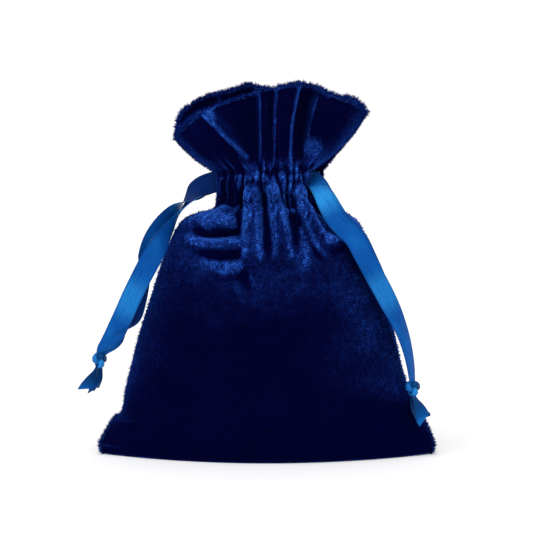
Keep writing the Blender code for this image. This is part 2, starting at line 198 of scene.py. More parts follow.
# %% [markdown]
# ## The form of the velvet
# Each panel is one sheet: it starts at the bottom seam, runs under the base, up the front or the back,
# through the channel, out into the ruffle, over the rim and down inside as the facing. The form is a loft.
# Its levels are given by where the left edge, the right edge and the middle of the panel stand. The two
# shoulders differ, because the pouch was pulled shut by hand, and the filling doesn't reach the bottom
# corners, which stay flat.

# %% The panel's levels
channel_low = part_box("front_lower_stitching")[0].z / MM
channel_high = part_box("front_upper_stitching")[1].z / MM
CHANNEL_MIDDLE = (channel_low + channel_high) / 2
ribbon_low, ribbon_high = (corner.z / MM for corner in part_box("left_ribbon_front_run"))
half_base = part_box("front_panel")[1].x / MM
belly_depth = -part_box("front_panel")[0].y / MM

# Height of the middle, depth of the middle, power of the section, left edge x and z, right edge x and z.
LEVELS = [
    (0.0, belly_depth - 2.2, 2.0, -half_base, 0.3, half_base, 0.3),
    (2.5, belly_depth - 1.2, 1.9, -half_base - 0.5, 2.6, half_base + 0.5, 2.6),
    (6.0, belly_depth - 0.7, 1.8, -48.6, 6.0, 48.9, 6.0),
    (10.0, belly_depth - 0.4, 1.7, -46.2, 10.0, 47.0, 10.0),
    (14.0, belly_depth - 0.1, 1.6, -43.4, 13.8, 45.0, 13.8),
    (20.0, belly_depth, 1.5, -42.6, 19.0, 42.9, 19.0),
    (27.0, belly_depth, 1.45, -41.0, 26.0, 40.6, 26.0),
    (37.0, belly_depth - 0.4, 1.4, -38.4, 36.0, 38.3, 36.0),
    (48.0, belly_depth - 1.6, 1.3, -34.6, 48.0, 35.2, 48.0),
    (57.0, belly_depth - 3.4, 1.2, -31.4, 58.0, 32.2, 58.0),
    (65.0, belly_depth - 5.0, 1.1, -28.0, 66.2, 29.4, 66.0),
    (70.0, belly_depth - 6.0, 1.05, -25.0, 70.6, 26.8, 70.4),
    (74.0, belly_depth - 6.6, 1.0, -20.4, 72.8, 23.0, 73.0),
    (77.0, belly_depth - 7.0, 1.0, -15.6, 74.4, 18.6, 75.8),
    (80.5, belly_depth - 7.0, 1.0, -15.0, 79.0, 17.0, 80.4),
    (channel_high, belly_depth - 7.0, 1.0, -15.0, 84.4, 17.0, 85.2),
]

COLUMNS = 192
BASE_ROWS = 10
WALL_ROWS = 130
RUFFLE_ROWS = 46
ROLL_ROWS = 4
FACING_ROWS = 32
RUFFLE_FOOT = BASE_ROWS + WALL_ROWS
RIM_ROW = RUFFLE_FOOT + RUFFLE_ROWS - 1

across = np.linspace(-1, 1, COLUMNS + 1)
print("levels from", LEVELS[0][0], "to", round(LEVELS[-1][0], 1), "mm")


# %% [markdown]
# The ruffle is lofted from the gathered neck through two drawn lines, one half way up and one at the rim. A
# rim is where cloth is freest, so each is a line in space: the front flap turns out at its left corner,
# falls back over a ridge into a deep hollow, steps twice into flat pleats and swings out again to the right
# corner.

# %% The ruffle's lines
# Place across the panel, then x, y, z at the rim and x, y, z half way up, in millimetres.
FRONT_RUFFLE = [
    (-1.000, -27.2, -2.0, 94.6, -21.6, -1.8, 88.9), (-0.800, -25.8, -6.2, 97.0, -20.0, -7.6, 90.4),
    (-0.600, -23.2, -9.6, 99.6, -17.2, -11.2, 92.4), (-0.420, -20.4, -12.6, 102.2, -14.6, -14.4, 94.8),
    (-0.335, -18.7, -13.6, 103.2, -12.2, -15.4, 96.2), (-0.310, -17.9, -12.0, 103.5, -11.4, -13.6, 96.4),
    (-0.270, -15.8, -6.0, 104.2, -9.6, -8.2, 96.8), (-0.210, -10.8, -2.2, 105.8, -6.4, -5.2, 97.2),
    (-0.160, -5.0, -2.4, 107.6, -3.4, -5.6, 97.6), (-0.142, -2.9, -4.8, 108.6, -2.3, -7.8, 97.9),
    (-0.128, -2.3, -10.6, 109.0, -2.0, -12.4, 98.0),
    (-0.050, -0.2, -10.4, 109.5, -0.5, -12.2, 98.0), (0.020, 1.9, -9.0, 109.8, 1.4, -10.9, 98.0),
    (0.040, 2.6, -11.9, 110.1, 2.3, -13.2, 98.2), (0.140, 5.8, -11.5, 110.7, 4.6, -13.0, 98.4),
    (0.240, 9.0, -10.8, 111.0, 6.8, -12.6, 98.6), (0.268, 9.9, -10.0, 111.0, 7.5, -12.0, 98.6),
    (0.284, 10.2, -5.6, 110.8, 7.8, -7.6, 98.6), (0.350, 12.8, -3.4, 110.3, 10.0, -5.4, 98.2),
    (0.430, 15.6, -6.6, 109.4, 12.8, -9.4, 98.0), (0.560, 19.2, -9.8, 107.8, 16.6, -11.2, 97.0),
    (0.760, 24.2, -8.8, 106.0, 20.6, -8.6, 95.8), (0.900, 27.6, -5.2, 104.2, 22.8, -4.8, 94.6),
    (1.000, 29.4, -1.6, 101.8, 23.2, -1.4, 93.0),
]
BACK_RUFFLE = [
    (-1.00, -27.2, 1.6, 95.2, -21.6, 1.4, 89.2), (-0.90, -26.6, 4.4, 99.6, -20.6, 4.8, 91.6),
    (-0.80, -24.9, 7.2, 102.2, -18.8, 7.6, 93.6), (-0.65, -20.2, 10.4, 105.4, -15.2, 10.0, 95.6),
    (-0.48, -15.4, 11.6, 107.2, -11.6, 12.0, 96.6), (-0.36, -12.0, 8.0, 108.1, -9.0, 9.0, 97.2),
    (-0.24, -8.6, 9.8, 109.2, -6.2, 11.0, 97.6), (-0.12, -5.0, 12.2, 109.8, -3.4, 13.0, 97.8),
    (-0.04, -1.6, 9.0, 109.2, -1.0, 10.4, 97.8), (0.06, 2.4, 7.6, 108.6, 2.2, 9.4, 97.8),
    (0.18, 7.0, 10.8, 109.0, 5.6, 12.2, 97.8), (0.30, 11.4, 12.0, 109.2, 9.0, 12.6, 97.8),
    (0.42, 15.0, 8.6, 108.2, 12.0, 9.4, 97.4), (0.55, 18.6, 7.8, 107.0, 15.2, 8.4, 96.8),
    (0.70, 22.8, 10.6, 106.0, 18.8, 9.6, 96.0), (0.85, 26.6, 7.8, 104.6, 22.0, 6.6, 94.8),
    (1.00, 29.2, 1.6, 101.4, 23.2, 1.4, 92.8),
]

# %% [markdown]
# ## Folds
# Where the drawstring gathers the cloth, its spare width has to go somewhere: it stands up in ridges that
# run down from the neck and die out over the filling. Each fold is a short line on the panel with a height
# and a half width at either end, so that it can fade. Its section is flat topped, round or sharp: gathered
# pleats are flat topped, and the creases between them are sharp.

# %% The folds of each panel
FLAT, ROUND, SHARP = 6.0, 2.0, 1.3

# Section, height at the start and end, half width at the start and end, and its line in x and z.
FRONT_FOLDS = [
    (FLAT, 3.0, 0.5, 2.5, 3.4, [(-4.4, 79.0), (-4.1, 73.0), (-4.2, 66.0), (-4.4, 55.0)]),
    (FLAT, 3.4, 0.5, 1.8, 3.6, [(1.8, 80.6), (2.9, 74.0), (4.2, 66.5), (5.2, 56.0)]),
    (FLAT, 3.2, 0.8, 1.7, 3.0, [(9.6, 79.6), (11.4, 74.4), (13.6, 69.0), (16.6, 64.4), (21.8, 60.2)]),
    (SHARP, -1.6, -0.4, 0.8, 1.2, [(-0.9, 79.0), (-0.5, 71.0), (0.2, 63.0), (0.6, 57.0)]),
    (SHARP, -2.4, -0.6, 1.2, 1.9, [(5.8, 79.4), (7.4, 73.0), (8.8, 66.0), (9.6, 59.0)]),
    (SHARP, -2.2, -0.8, 0.9, 1.6, [(-8.0, 80.0), (-8.4, 72.0), (-8.6, 65.0), (-8.9, 58.0)]),
    (ROUND, -3.8, -1.6, 2.2, 2.6, [(14.6, 78.6), (17.4, 74.4), (20.6, 70.4), (23.4, 68.6)]),
    (ROUND, 1.9, 0.8, 1.6, 2.0, [(18.6, 65.6), (23.0, 66.2), (28.4, 67.6)]),
    (SHARP, -3.8, -1.2, 1.3, 2.0, [(-9.4, 68.2), (-13.0, 67.3), (-18.0, 67.0), (-25.0, 68.4)]),
    (ROUND, 2.7, 1.0, 1.7, 2.2, [(-10.6, 71.2), (-15.4, 70.9), (-21.4, 69.6)]),
    (ROUND, 1.5, 1.0, 1.2, 1.1, [(-12.6, 74.2), (-12.0, 70.6)]),
    (ROUND, 2.6, 0.9, 1.2, 1.7, [(-8.8, 64.8), (-15.0, 64.5), (-22.0, 64.9), (-26.6, 66.0)]),
    (ROUND, -1.9, -0.5, 1.5, 2.2, [(-9.0, 61.2), (-15.0, 60.9), (-22.4, 62.2)]),
    (ROUND, 1.6, 0.3, 1.6, 2.2, [(-8.6, 57.4), (-12.6, 56.8), (-17.8, 58.2)]),
    (ROUND, 1.1, 0.2, 1.7, 2.6, [(11.0, 68.0), (11.8, 61.0), (11.0, 53.0)]),
    (ROUND, -1.1, -0.2, 1.6, 2.4, [(-7.4, 56.0), (-5.4, 51.0), (-2.0, 48.0)]),
]
BACK_FOLDS = [
    (FLAT, 3.0, 0.5, 2.2, 3.6, [(-1.6, 79.0), (-2.4, 72.0), (-4.4, 64.0), (-5.4, 56.0)]),
    (FLAT, 2.8, 0.5, 2.0, 3.4, [(4.4, 79.0), (5.8, 73.0), (8.2, 66.0), (9.6, 58.0)]),
    (FLAT, 2.8, 0.5, 1.9, 3.2, [(-8.0, 79.0), (-10.4, 74.0), (-14.4, 68.0), (-17.6, 62.0)]),
    (FLAT, 2.6, 0.4, 1.8, 3.0, [(10.8, 79.0), (13.6, 74.0), (17.6, 69.0), (22.4, 64.0)]),
    (SHARP, -2.4, -0.5, 1.0, 1.8, [(1.4, 79.0), (1.8, 72.0), (1.9, 63.0), (2.0, 56.0)]),
    (SHARP, -2.4, -0.5, 1.0, 1.8, [(-4.8, 79.0), (-6.6, 73.0), (-9.8, 66.0), (-11.4, 58.0)]),
    (SHARP, -2.4, -0.6, 1.0, 1.8, [(7.6, 79.0), (9.6, 74.0), (12.8, 68.0), (16.0, 60.0)]),
    (ROUND, -2.8, -0.8, 1.5, 2.2, [(14.0, 77.4), (18.0, 73.4), (23.4, 69.6)]),
    (ROUND, -2.8, -0.8, 1.5, 2.2, [(-11.6, 77.4), (-15.6, 72.8), (-21.0, 69.4)]),
    (ROUND, 1.4, 0.3, 1.8, 2.6, [(-10.0, 60.0), (-17.0, 58.0), (-23.0, 60.0)]),
]
# Creases across the channel: x at its top and at its foot, and depth.
FRONT_GATHERS = [
    (-12.6, -12.9, 1.0), (-10.2, -10.4, 1.3), (-7.4, -7.4, 1.6), (-4.6, -4.4, 0.5), (-2.3, -1.4, 1.6),
    (0.6, 0.2, 0.6), (2.2, 4.2, 1.5), (5.9, 6.4, 1.6), (8.4, 8.2, 1.0), (10.4, 12.2, 1.4), (13.4, 13.9, 1.1),
]
BACK_GATHERS = [(x, x + 0.5 * sin(x), 1.0 + 0.4 * cos(2 * x)) for x in np.linspace(-13.0, 14.6, 12)]
CREASE_HALF_WIDTH = 0.75
CREASE_POWER = 1.6
FADE_FROM = 0.55        # the share of a fold's length after which it dies out


def nearest_on(line, x, z):
    """How far each point is from a line in x and z, and how far along the line it is, from 0 to 1."""
    route = route_through([(px, 0, pz) for px, pz in line], 0.8)[:, ::2]
    nearest = np.full(x.shape, 1e9)
    share = np.zeros_like(x)
    for i, (a, b) in enumerate(zip(route, route[1:])):
        step = b - a
        t = np.clip(((x - a[0]) * step[0] + (z - a[1]) * step[1]) / (step @ step), 0, 1)
        distance = np.hypot(x - a[0] - t * step[0], z - a[1] - t * step[1])
        closer = distance < nearest
        nearest = np.where(closer, distance, nearest)
        share = np.where(closer, (i + t) / (len(route) - 1), share)
    return nearest, share


def fold_heights(x, z, folds):
    """How far the cloth stands out at each x and z, in millimetres."""
    total = np.zeros_like(x)
    for power, start, end, start_width, end_width, line in folds:
        distance, share = nearest_on(line, x, z)
        width = start_width + (end_width - start_width) * share
        height = (start + (end - start) * share) * (1 - smooth_step(share, FADE_FROM, 1.0))
        total += height * np.exp(-(distance / width) ** power)
    return total


def gather_heights(x, z, gathers):
    """The creases between the puckers that the ribbons pull the channel into."""
    total = np.zeros_like(x)
    for top, foot, depth in gathers:
        line = [(foot, channel_low - 2.0), ((top + foot) / 2 + 0.15, CHANNEL_MIDDLE),
                (top, channel_high + 1.5)]
        distance, _ = nearest_on(line, x, z)
        total -= depth * np.exp(-(distance / CREASE_HALF_WIDTH) ** CREASE_POWER)
    return total


print(len(FRONT_FOLDS), "folds in front,", len(BACK_FOLDS), "behind")


# %% [markdown]
# ## Lofting one panel
# The rows are worked out in order: base, wall, ruffle. The two rows of stitching pull the cloth in, and it
# stands up in puckers between them. Then the normals are measured, and the roll at the rim and the facing are
# set in from the outside along them. A number called pile goes with each point. It is painted light: it is
# raised for a painted highlight on sharp bends, broad swells, cloth that faces up, the rim and listed
# patches, and lowered for painted shade in hollows, on the ruffle and in other listed patches.


# %% Loft, gathers and facing
def lumps(points, size, seed):
    """Smooth noise from -1 to 1 at each point; size is how far apart its lumps are, in millimetres."""
    flat = points.reshape(-1, 3) / size + seed
    return np.array([noise.noise(Vector(p)) for p in flat]).reshape(points.shape[:2])


def grid_normals(points):
    """Unit normals of a grid, on the side that columns cross rows face."""
    down, right = np.gradient(points, axis=0), np.gradient(points, axis=1)
    normal = np.cross(right, down)
    return normal / np.maximum(np.linalg.norm(normal, axis=2, keepdims=True), 1e-9)


def soften(points, rounds):
    """Evens out a grid by moving each point towards the middle of its neighbours. The edges stay."""
    points = points.copy()
    for _ in range(rounds):
        middle = (points[:-2, 1:-1] + points[2:, 1:-1] + points[1:-1, :-2] + points[1:-1, 2:]) / 4
        points[1:-1, 1:-1] += 0.5 * (middle - points[1:-1, 1:-1])
    return points


SEAM_HALF_GAP = 0.22
SLIT_HALF_GAP = 0.95
LIFT_IN = 7.6           # how far the front's edge at the right slit is drawn back,
LIFT_OUT = 2.2          # how far it is lifted, where that side's ribbon comes out,
LIFT_FROM = 0.40        # where across the panel this starts,
LIFT_REACH = 3.9        # and how far up and down it goes
SEAM_TUCK = 0.7
CHANNEL_FACING_DEPTH = 3.4
RUFFLE_FACING_DEPTH = 1.5
GATHER_REACH = 7.5      # how far from the channel's middle the finest gathers reach, and their depth
FINE_GATHER = 0.22
PUCKER = 0.35           # how far the cloth stands out between its rows of stitches
STITCH_PULLS = [(channel_low + 0.5, 0.35, 0.2), (channel_high - 0.5, 0.5, 0.7)]     # height, wander, depth
SOFTENED_ROWS = 12      # the last rows of the wall, evened out together with the foot of the ruffle
TURNED_ROWS = 16        # how many rows below the wall's top the facing has its raw edge


def smooth_wall(side):
    """The wall of one panel without its folds. side is -1 in front and 1 behind."""
    heights = np.linspace(LEVELS[0][0], LEVELS[-1][0], WALL_ROWS)
    level = along(LEVELS, heights)
    depth, power, left_x, left_z, right_x, right_z = (level[:, k:k + 1] for k in range(6))
    s = across[None, :]
    bend = np.sin(s * pi / 2)
    x = (left_x + right_x) / 2 + (right_x - left_x) / 2 * bend
    x -= np.sign(s) * SEAM_TUCK * smooth_step(np.abs(s), 0.975, 1.0)
    edge_z = np.where(s < 0, left_z, right_z)
    z = heights[:, None] + (edge_z - heights[:, None]) * np.abs(bend) ** 2.5
    slit = smooth_step(z, channel_low - 1.0, channel_low + 1.5)
    slit = slit * (1 - smooth_step(z, channel_high - 1, channel_high + 2))
    gap = SEAM_HALF_GAP + (SLIT_HALF_GAP - SEAM_HALF_GAP) * slit
    y = side * (gap + depth * np.abs(np.cos(s * pi / 2)) ** power)
    if side < 0:
        lifted = smooth_step(s, LIFT_FROM, 1.0) * np.exp(-((z - CHANNEL_MIDDLE + 0.6) / LIFT_REACH) ** 4)
        x = x - LIFT_IN * lifted
        y = y - LIFT_OUT * lifted
    return np.stack([x, y, z], axis=2)


def loft_wall(side, folds, gathers):
    """The rows under the base and up the wall to the channel's top."""
    wall = smooth_wall(side)
    x, _, z = (wall[..., k] for k in range(3))
    outward = grid_normals(wall) * -side
    inside = 1 - np.abs(across[None, :]) ** 6
    push = fold_heights(x, z, folds) + gather_heights(x, z, gathers)
    near = np.exp(-((z - CHANNEL_MIDDLE) / GATHER_REACH) ** 2)
    push += near * FINE_GATHER * np.sin(x * 3.7 + 1.3 * np.sin(z * 0.5 + side))
    for row, wander, pull in STITCH_PULLS:
        away = z - row - wander * np.sin(x * 0.9 + row)
        push -= pull * np.exp(-(away / 0.8) ** 2)
    push += PUCKER * np.exp(-((z - CHANNEL_MIDDLE) / 2.6) ** 4)
    filled = np.clip((z - 3) / 10, 0, 1)
    push += filled * (0.6 * lumps(wall, 19.0, 3.1) + 0.12 * lumps(wall, 8.0, 9.7))
    push += 0.18 * smooth_step(z, 54, 66) * lumps(wall, 3.6, 4.4)
    wall = wall + outward * (push * inside)[..., None]

    share = np.linspace(0.0, 1.0, BASE_ROWS, endpoint=False)[:, None]
    base = np.repeat(wall[:1], BASE_ROWS, axis=0)
    base[..., 1] = side * SEAM_HALF_GAP + (wall[0, :, 1] - side * SEAM_HALF_GAP) * share
    return base, wall


def loft_ruffle(neck, lines):
    """The rows from the channel's top to the rim. The gathers fade on the way."""
    drawn = along(lines, across)
    rim, halfway = drawn[:, :3], drawn[:, 3:]
    t = np.linspace(0, 1, RUFFLE_ROWS + 1)[1:, None, None]
    even = neck.copy()
    for _ in range(60):
        even[1:-1] = (even[:-2] + even[2:]) / 2
    ruffle = even * (1 - t) * (1 - 2 * t) + halfway * 4 * t * (1 - t) + rim * t * (2 * t - 1)
    ruffle += (neck - even) * np.exp(-7 * t)
    free = t[..., 0] * (1 - np.abs(across) ** 8)
    ruffle[..., 1] += (0.5 * lumps(ruffle, 8.0, 5.3) + 0.2 * lumps(ruffle, 3.0, 2.2)) * free
    ruffle[..., 0] += 0.3 * lumps(ruffle, 6.0, 1.7) * free
    ruffle[..., 2] += 0.35 * lumps(ruffle, 3.5, 8.1) * t[..., 0]
    return ruffle


# Patches of painted light, a painted highlight where the amount is above 0 and painted shade where it is
# below 0: middle in x and z, reach in x and z, and amount.
PAINTED_LIGHT_PATCHES = [
    (0.0, 68.0, 24.0, 12.0, 0.24), (-11.8, 81.0, 4.5, 6.0, -0.8), (34.0, 40.0, 12.0, 24.0, 0.24),
    (14.0, 92.4, 2.8, 3.4, 1.6), (5.0, 89.0, 6.0, 2.2, 0.4), (-2.2, 68.0, 1.2, 6.0, 0.35),
    (11.2, 62.0, 1.6, 5.5, 0.35), (-13.0, 57.0, 4.6, 1.6, 0.35), (-16.0, 64.8, 8.0, 1.2, 0.4),
    (0.0, 1.0, 60.0, 5.0, -0.6), (0.0, 8.0, 60.0, 8.0, -0.5), (-14.4, 99.8, 1.9, 3.0, -1.3),
    (-11.8, 95.8, 1.9, 3.0, -1.3), (-9.6, 92.0, 1.8, 2.6, -1.2), (-17.0, 93.0, 5.0, 4.0, -0.25),
]
# Painted highlights along thin lines on the front's creases: places in x and z, half width, and amount.
PAINTED_CREASE_HIGHLIGHTS = [
    ([(-18.6, 103.0), (-15.8, 99.6), (-11.9, 95.4), (-8.4, 92.4), (-6.0, 90.0)], 0.7, 1.9),
    ([(-24.6, 97.6), (-21.6, 100.4), (-18.6, 103.0)], 0.6, 0.6),
]


def loft_panel(side, folds, gathers, lines):
    """One panel's outside rows, then the roll at the rim and the facing; and the pile value at each point,
    which carries painted highlight and shade.
    """
    base, wall = loft_wall(side, folds, gathers)
    ruffle = loft_ruffle(wall[-1], lines)
    joined = WALL_ROWS - SOFTENED_ROWS
    upper = np.concatenate([wall[joined:], ruffle])
    upper[:30] = soften(upper[:31], 3)[:30]
    outside = np.concatenate([base, wall[:joined], soften(upper, 1)])
    outward = grid_normals(outside) * -side

    rows = np.linspace(len(outside) - 1, RUFFLE_FOOT - TURNED_ROWS, FACING_ROWS + 1).round().astype(int)
    closed = np.clip((1 - np.abs(across)) / 0.06, 0, 1)[None, :, None] ** 0.5
    channel = np.clip(1 - (rows - RUFFLE_FOOT)[:, None, None] / 9.0, 0, 1)
    depth = RUFFLE_FACING_DEPTH + (CHANNEL_FACING_DEPTH - RUFFLE_FACING_DEPTH) * channel
    facing = soften(outside[rows] - outward[rows] * depth * (0.35 + 0.65 * closed), 3)

    up = outside[-1] - outside[-2]
    up /= np.linalg.norm(up, axis=1, keepdims=True)
    middle = (outside[-1] + facing[0]) / 2
    out = outside[-1] - middle
    radius = np.linalg.norm(out, axis=1, keepdims=True)
    roll = np.stack([middle + out * cos(pi * k / ROLL_ROWS) + up * radius * sin(pi * k / ROLL_ROWS)
                     for k in range(1, ROLL_ROWS)])

    # Painted light in the pile value: sharp edges, broad swells, cloth that faces up and the rim get painted
    # highlight; hollows and the ruffle get painted shade.
    sharp = np.sum((outside - soften(outside, 2)) * outward, axis=2)
    broad = np.sum((outside - soften(outside, 50)) * outward, axis=2)
    x, z = outside[..., 0], outside[..., 2]
    pile = np.clip((sharp - 0.006) / 0.03, 0, 1) + 0.15 * np.clip(broad - 0.2, 0, 1)
    pile += 0.9 * np.clip(outward[..., 2] - 0.1, 0, 1) - 1.2 * np.clip(-(broad + 0.1), 0, 1)
    pile -= 0.45 * smooth_step(z, 87, 91)
    pile[-2:] += 0.6
    # The listed patches and crease lines add painted highlight or painted shade.
    for middle_x, middle_z, reach_x, reach_z, amount in PAINTED_LIGHT_PATCHES:
        pile += amount * np.exp(-((x - middle_x) / reach_x) ** 2 - ((z - middle_z) / reach_z) ** 2)
    for line, half_width, amount in PAINTED_CREASE_HIGHLIGHTS if side < 0 else []:
        pile += amount * np.exp(-(nearest_on(line, x, z)[0] / half_width) ** 2)
    pile *= 1 - np.abs(across[None, :]) ** 12
    hidden = np.full((len(roll) + len(facing), len(across)), -0.2)
    return np.concatenate([outside, roll, facing]), np.concatenate([np.clip(pile, -1, 1), hidden])


front_grid, front_pile_with_painted_light = loft_panel(-1, FRONT_FOLDS, FRONT_GATHERS, FRONT_RUFFLE)
back_grid, back_pile_with_painted_light = loft_panel(1, BACK_FOLDS, BACK_GATHERS, BACK_RUFFLE)
HALVES = {"front": (front_grid, -1), "back": (back_grid, 1)}
print("each panel is a grid of", front_grid.shape[0], "by", front_grid.shape[1], "points")

# %% [markdown]
# ## Velvet panels
# The cloth gets half a millimetre of backing behind its face. The pile stands on that, and is added next as
# fibres along the outlines. The back's columns run the other way, so that its face too looks outwards.

# %% Make the panels
VELVET_THICKNESS = 0.5 * MM

panels = {
    "front": cloth_piece("front_velvet", front_grid * MM, VELVET_THICKNESS, pile=front_pile_with_painted_light),
    "back": cloth_piece("back_velvet", back_grid[:, ::-1] * MM, VELVET_THICKNESS, pile=back_pile_with_painted_light[:, ::-1]),
}
for piece in panels.values():
    print(piece.name, len(piece.data.polygons), "faces")

# %% [markdown]
# ## Pile at the edges
# Velvet is a carpet of cut fibres. Over most of the cloth they are too fine to see one by one, but wherever
# the cloth turns its edge to the eye they stand out as fuzz, longest at the rim and the corners. Tufts of
# them are short cones here, each with three sides, set along the rim, the side seams and the corners. Near
# the floor none of them points down.


# %% Fibres
FIBRE_BATCH = 60
ROOT_DEPTH = 0.15
ROOT_RADIUS, ROOT_RADIUS_PER_LENGTH, TIP_RADIUS = 0.03, 0.11, 0.012
LEAN = 0.45             # how untidy the tufts are
FLOOR_HEIGHT = 2.5      # below this height no tuft points down


def fibres(name, roots, directions, lengths):
    """Short pointed tufts of fibre, in millimetres. They are made in small batches, which is quicker."""
    bm = bmesh.new()
    for first in range(0, len(roots), FIBRE_BATCH):
        batch = bmesh.new()
        for i in range(first, min(first + FIBRE_BATCH, len(roots))):
            turn = Vector(directions[i]).normalized().to_track_quat("Z", "Y").to_matrix().to_4x4()
            middle = Matrix.Translation((0, 0, lengths[i] * MM / 2 - ROOT_DEPTH * MM))
            bmesh.ops.create_cone(batch, cap_ends=True, cap_tris=True, segments=3,
                                  radius1=(ROOT_RADIUS + ROOT_RADIUS_PER_LENGTH * lengths[i]) * MM,
                                  radius2=TIP_RADIUS * MM, depth=lengths[i] * MM,
                                  matrix=Matrix.Translation(Vector(roots[i]) * MM) @ turn @ middle)
        mesh = bpy.data.meshes.new("batch")
        batch.to_mesh(mesh)
        batch.free()
        bm.from_mesh(mesh)
        bpy.data.meshes.remove(mesh)
    return new_piece(name, bm, smooth=False)


random = np.random.default_rng(7)


def scatter(grid, rows, columns, count):
    """Random places on part of a grid, and the cloth's normal at each."""
    r = random.uniform(rows[0], rows[1], count)
    c = random.uniform(columns[0], columns[1], count)
    r0, c0 = np.floor(r).astype(int), np.floor(c).astype(int)
    r1, c1 = np.minimum(r0 + 1, len(grid) - 1), np.minimum(c0 + 1, COLUMNS)
    fr, fc = (r - r0)[:, None], (c - c0)[:, None]
    below = grid[r0, c0] * (1 - fc) + grid[r0, c1] * fc
    above = grid[r1, c0] * (1 - fc) + grid[r1, c1] * fc
    normal = np.cross(grid[r0, c1] - grid[r0, c0], grid[r1, c0] - grid[r0, c0])
    normal /= np.maximum(np.linalg.norm(normal, axis=1, keepdims=True), 1e-9)
    return below * (1 - fr) + above * fr, normal


rim, sides, corner = (RIM_ROW - 0.6, RIM_ROW + ROLL_ROWS), (BASE_ROWS, RIM_ROW), (BASE_ROWS, BASE_ROWS + 18)
ruffle, whole = (RUFFLE_FOOT, RIM_ROW), (0, COLUMNS)


def left(columns):
    return 0, columns


def right(columns):
    return COLUMNS - columns, COLUMNS


# Rows, columns, number of tufts, and their shortest and longest.
ZONES = [
    (rim, whole, 2400, 0.7, 1.35), (rim, whole, 260, 1.3, 1.8), (rim, right(26), 260, 1.3, 2.3),
    (sides, left(3), 900, 0.5, 0.95), (sides, right(3), 900, 0.5, 0.95),
    (corner, left(6), 420, 0.8, 1.6), (corner, right(6), 420, 0.8, 1.6),
    (ruffle, right(20), 500, 0.4, 0.8), (ruffle, left(20), 500, 0.4, 0.8),
]

pile_fringe = {}
for half, (grid, side) in HALVES.items():
    roots, directions, lengths = [], [], []
    for rows, columns, count, shortest, longest in ZONES:
        places, normal = scatter(grid, rows, columns, count)
        pointing = normal * -side + random.normal(0, LEAN, places.shape)
        pointing[:, 2] = np.where(places[:, 2] < FLOOR_HEIGHT, np.abs(pointing[:, 2]), pointing[:, 2])
        directions.append(pointing)
        roots.append(places)
        lengths.append(random.uniform(shortest, longest, count))
    pile_fringe[half] = fibres(f"{half}_pile_fringe", np.concatenate(roots), np.concatenate(directions),
                               np.concatenate(lengths))
    print(pile_fringe[half].name, len(pile_fringe[half].data.polygons), "faces")

# %% [markdown]
# ## Ribbons
# Satin ribbon bends easily only one way, so it twists and turns over instead of curving in its plane. Each
# strand is a strip along its route, with a width and a roll that change on the way: roll 0 shows its face
# to the front. The routes are those of the frame's ribbons, apart from where the right ones leave their
# slit: they come out over the front. The strip is slightly cupped, because the woven edges pull it in. Only
# one of its two sides carries the shine, so each face is marked with the side it belongs to.

# %% Ribbon strips
RIBBON_WIDTH = ribbon_high - ribbon_low
RIBBON_THICKNESS = 0.2
CUP = 0.28
UPWARDS = np.array((0.0, 0.0, 1.0))

# Stops along each strand, starting inside the channel. The right ones come out over the front.
LEFT_FRONT = [(-13.4, -0.6, 82.0),
              (-15.8, -0.4, 81.8), (-19.2, -0.7, 80.4), (-22.4, -1.8, 77.0), (-25.8, -2.8, 73.0),
              (-28.8, -3.8, 68.6), (-31.8, -4.6, 64.0), (-34.4, -5.2, 59.2), (-37.2, -5.6, 54.0),
              (-40.0, -5.6, 48.4), (-42.6, -5.2, 42.6), (-45.2, -4.6, 37.2), (-47.6, -3.8, 34.0),
              (-49.2, -3.2, 32.2)]
LEFT_BACK = [(-13.4, 0.6, 82.0),
             (-15.8, 0.4, 81.8), (-19.2, 0.7, 80.6), (-22.8, 0.9, 77.6), (-26.6, 0.8, 74.2),
             (-30.4, 0.6, 70.0), (-33.6, 0.0, 65.4), (-35.6, -0.8, 60.8), (-36.8, -1.6, 56.0),
             (-37.8, -2.4, 51.2), (-38.8, -3.0, 46.6), (-40.2, -3.2, 42.0), (-42.2, -3.0, 38.2),
             (-45.0, -2.6, 34.8), (-48.2, -1.9, 32.0)]
RIGHT_FRONT = [(9.6, -2.4, 82.4), (12.4, -4.4, 83.0), (14.6, -7.0, 82.0), (16.2, -9.2, 79.4),
               (18.0, -10.4, 75.6), (20.9, -11.0, 71.0),
               (25.6, -11.0, 66.2), (28.8, -11.6, 60.6), (32.0, -11.0, 54.6), (35.2, -9.8, 48.6),
               (38.2, -8.4, 42.6), (40.4, -7.2, 37.2), (41.9, -6.6, 32.0), (42.8, -6.1, 27.4),
               (43.2, -5.7, 24.0)]
RIGHT_BACK = [(9.8, -1.8, 82.2), (12.8, -3.0, 82.6), (15.2, -5.2, 81.2), (17.2, -7.4, 78.2),
              (19.4, -8.8, 74.4), (22.0, -9.2, 70.6),
              (26.8, -9.2, 65.6), (29.8, -9.8, 59.8), (32.6, -9.2, 53.8), (35.4, -8.0, 47.8),
              (37.6, -6.4, 42.0), (39.4, -5.2, 36.8), (41.0, -4.7, 32.0), (42.2, -4.5, 27.4),
              (43.0, -4.4, 24.0)]


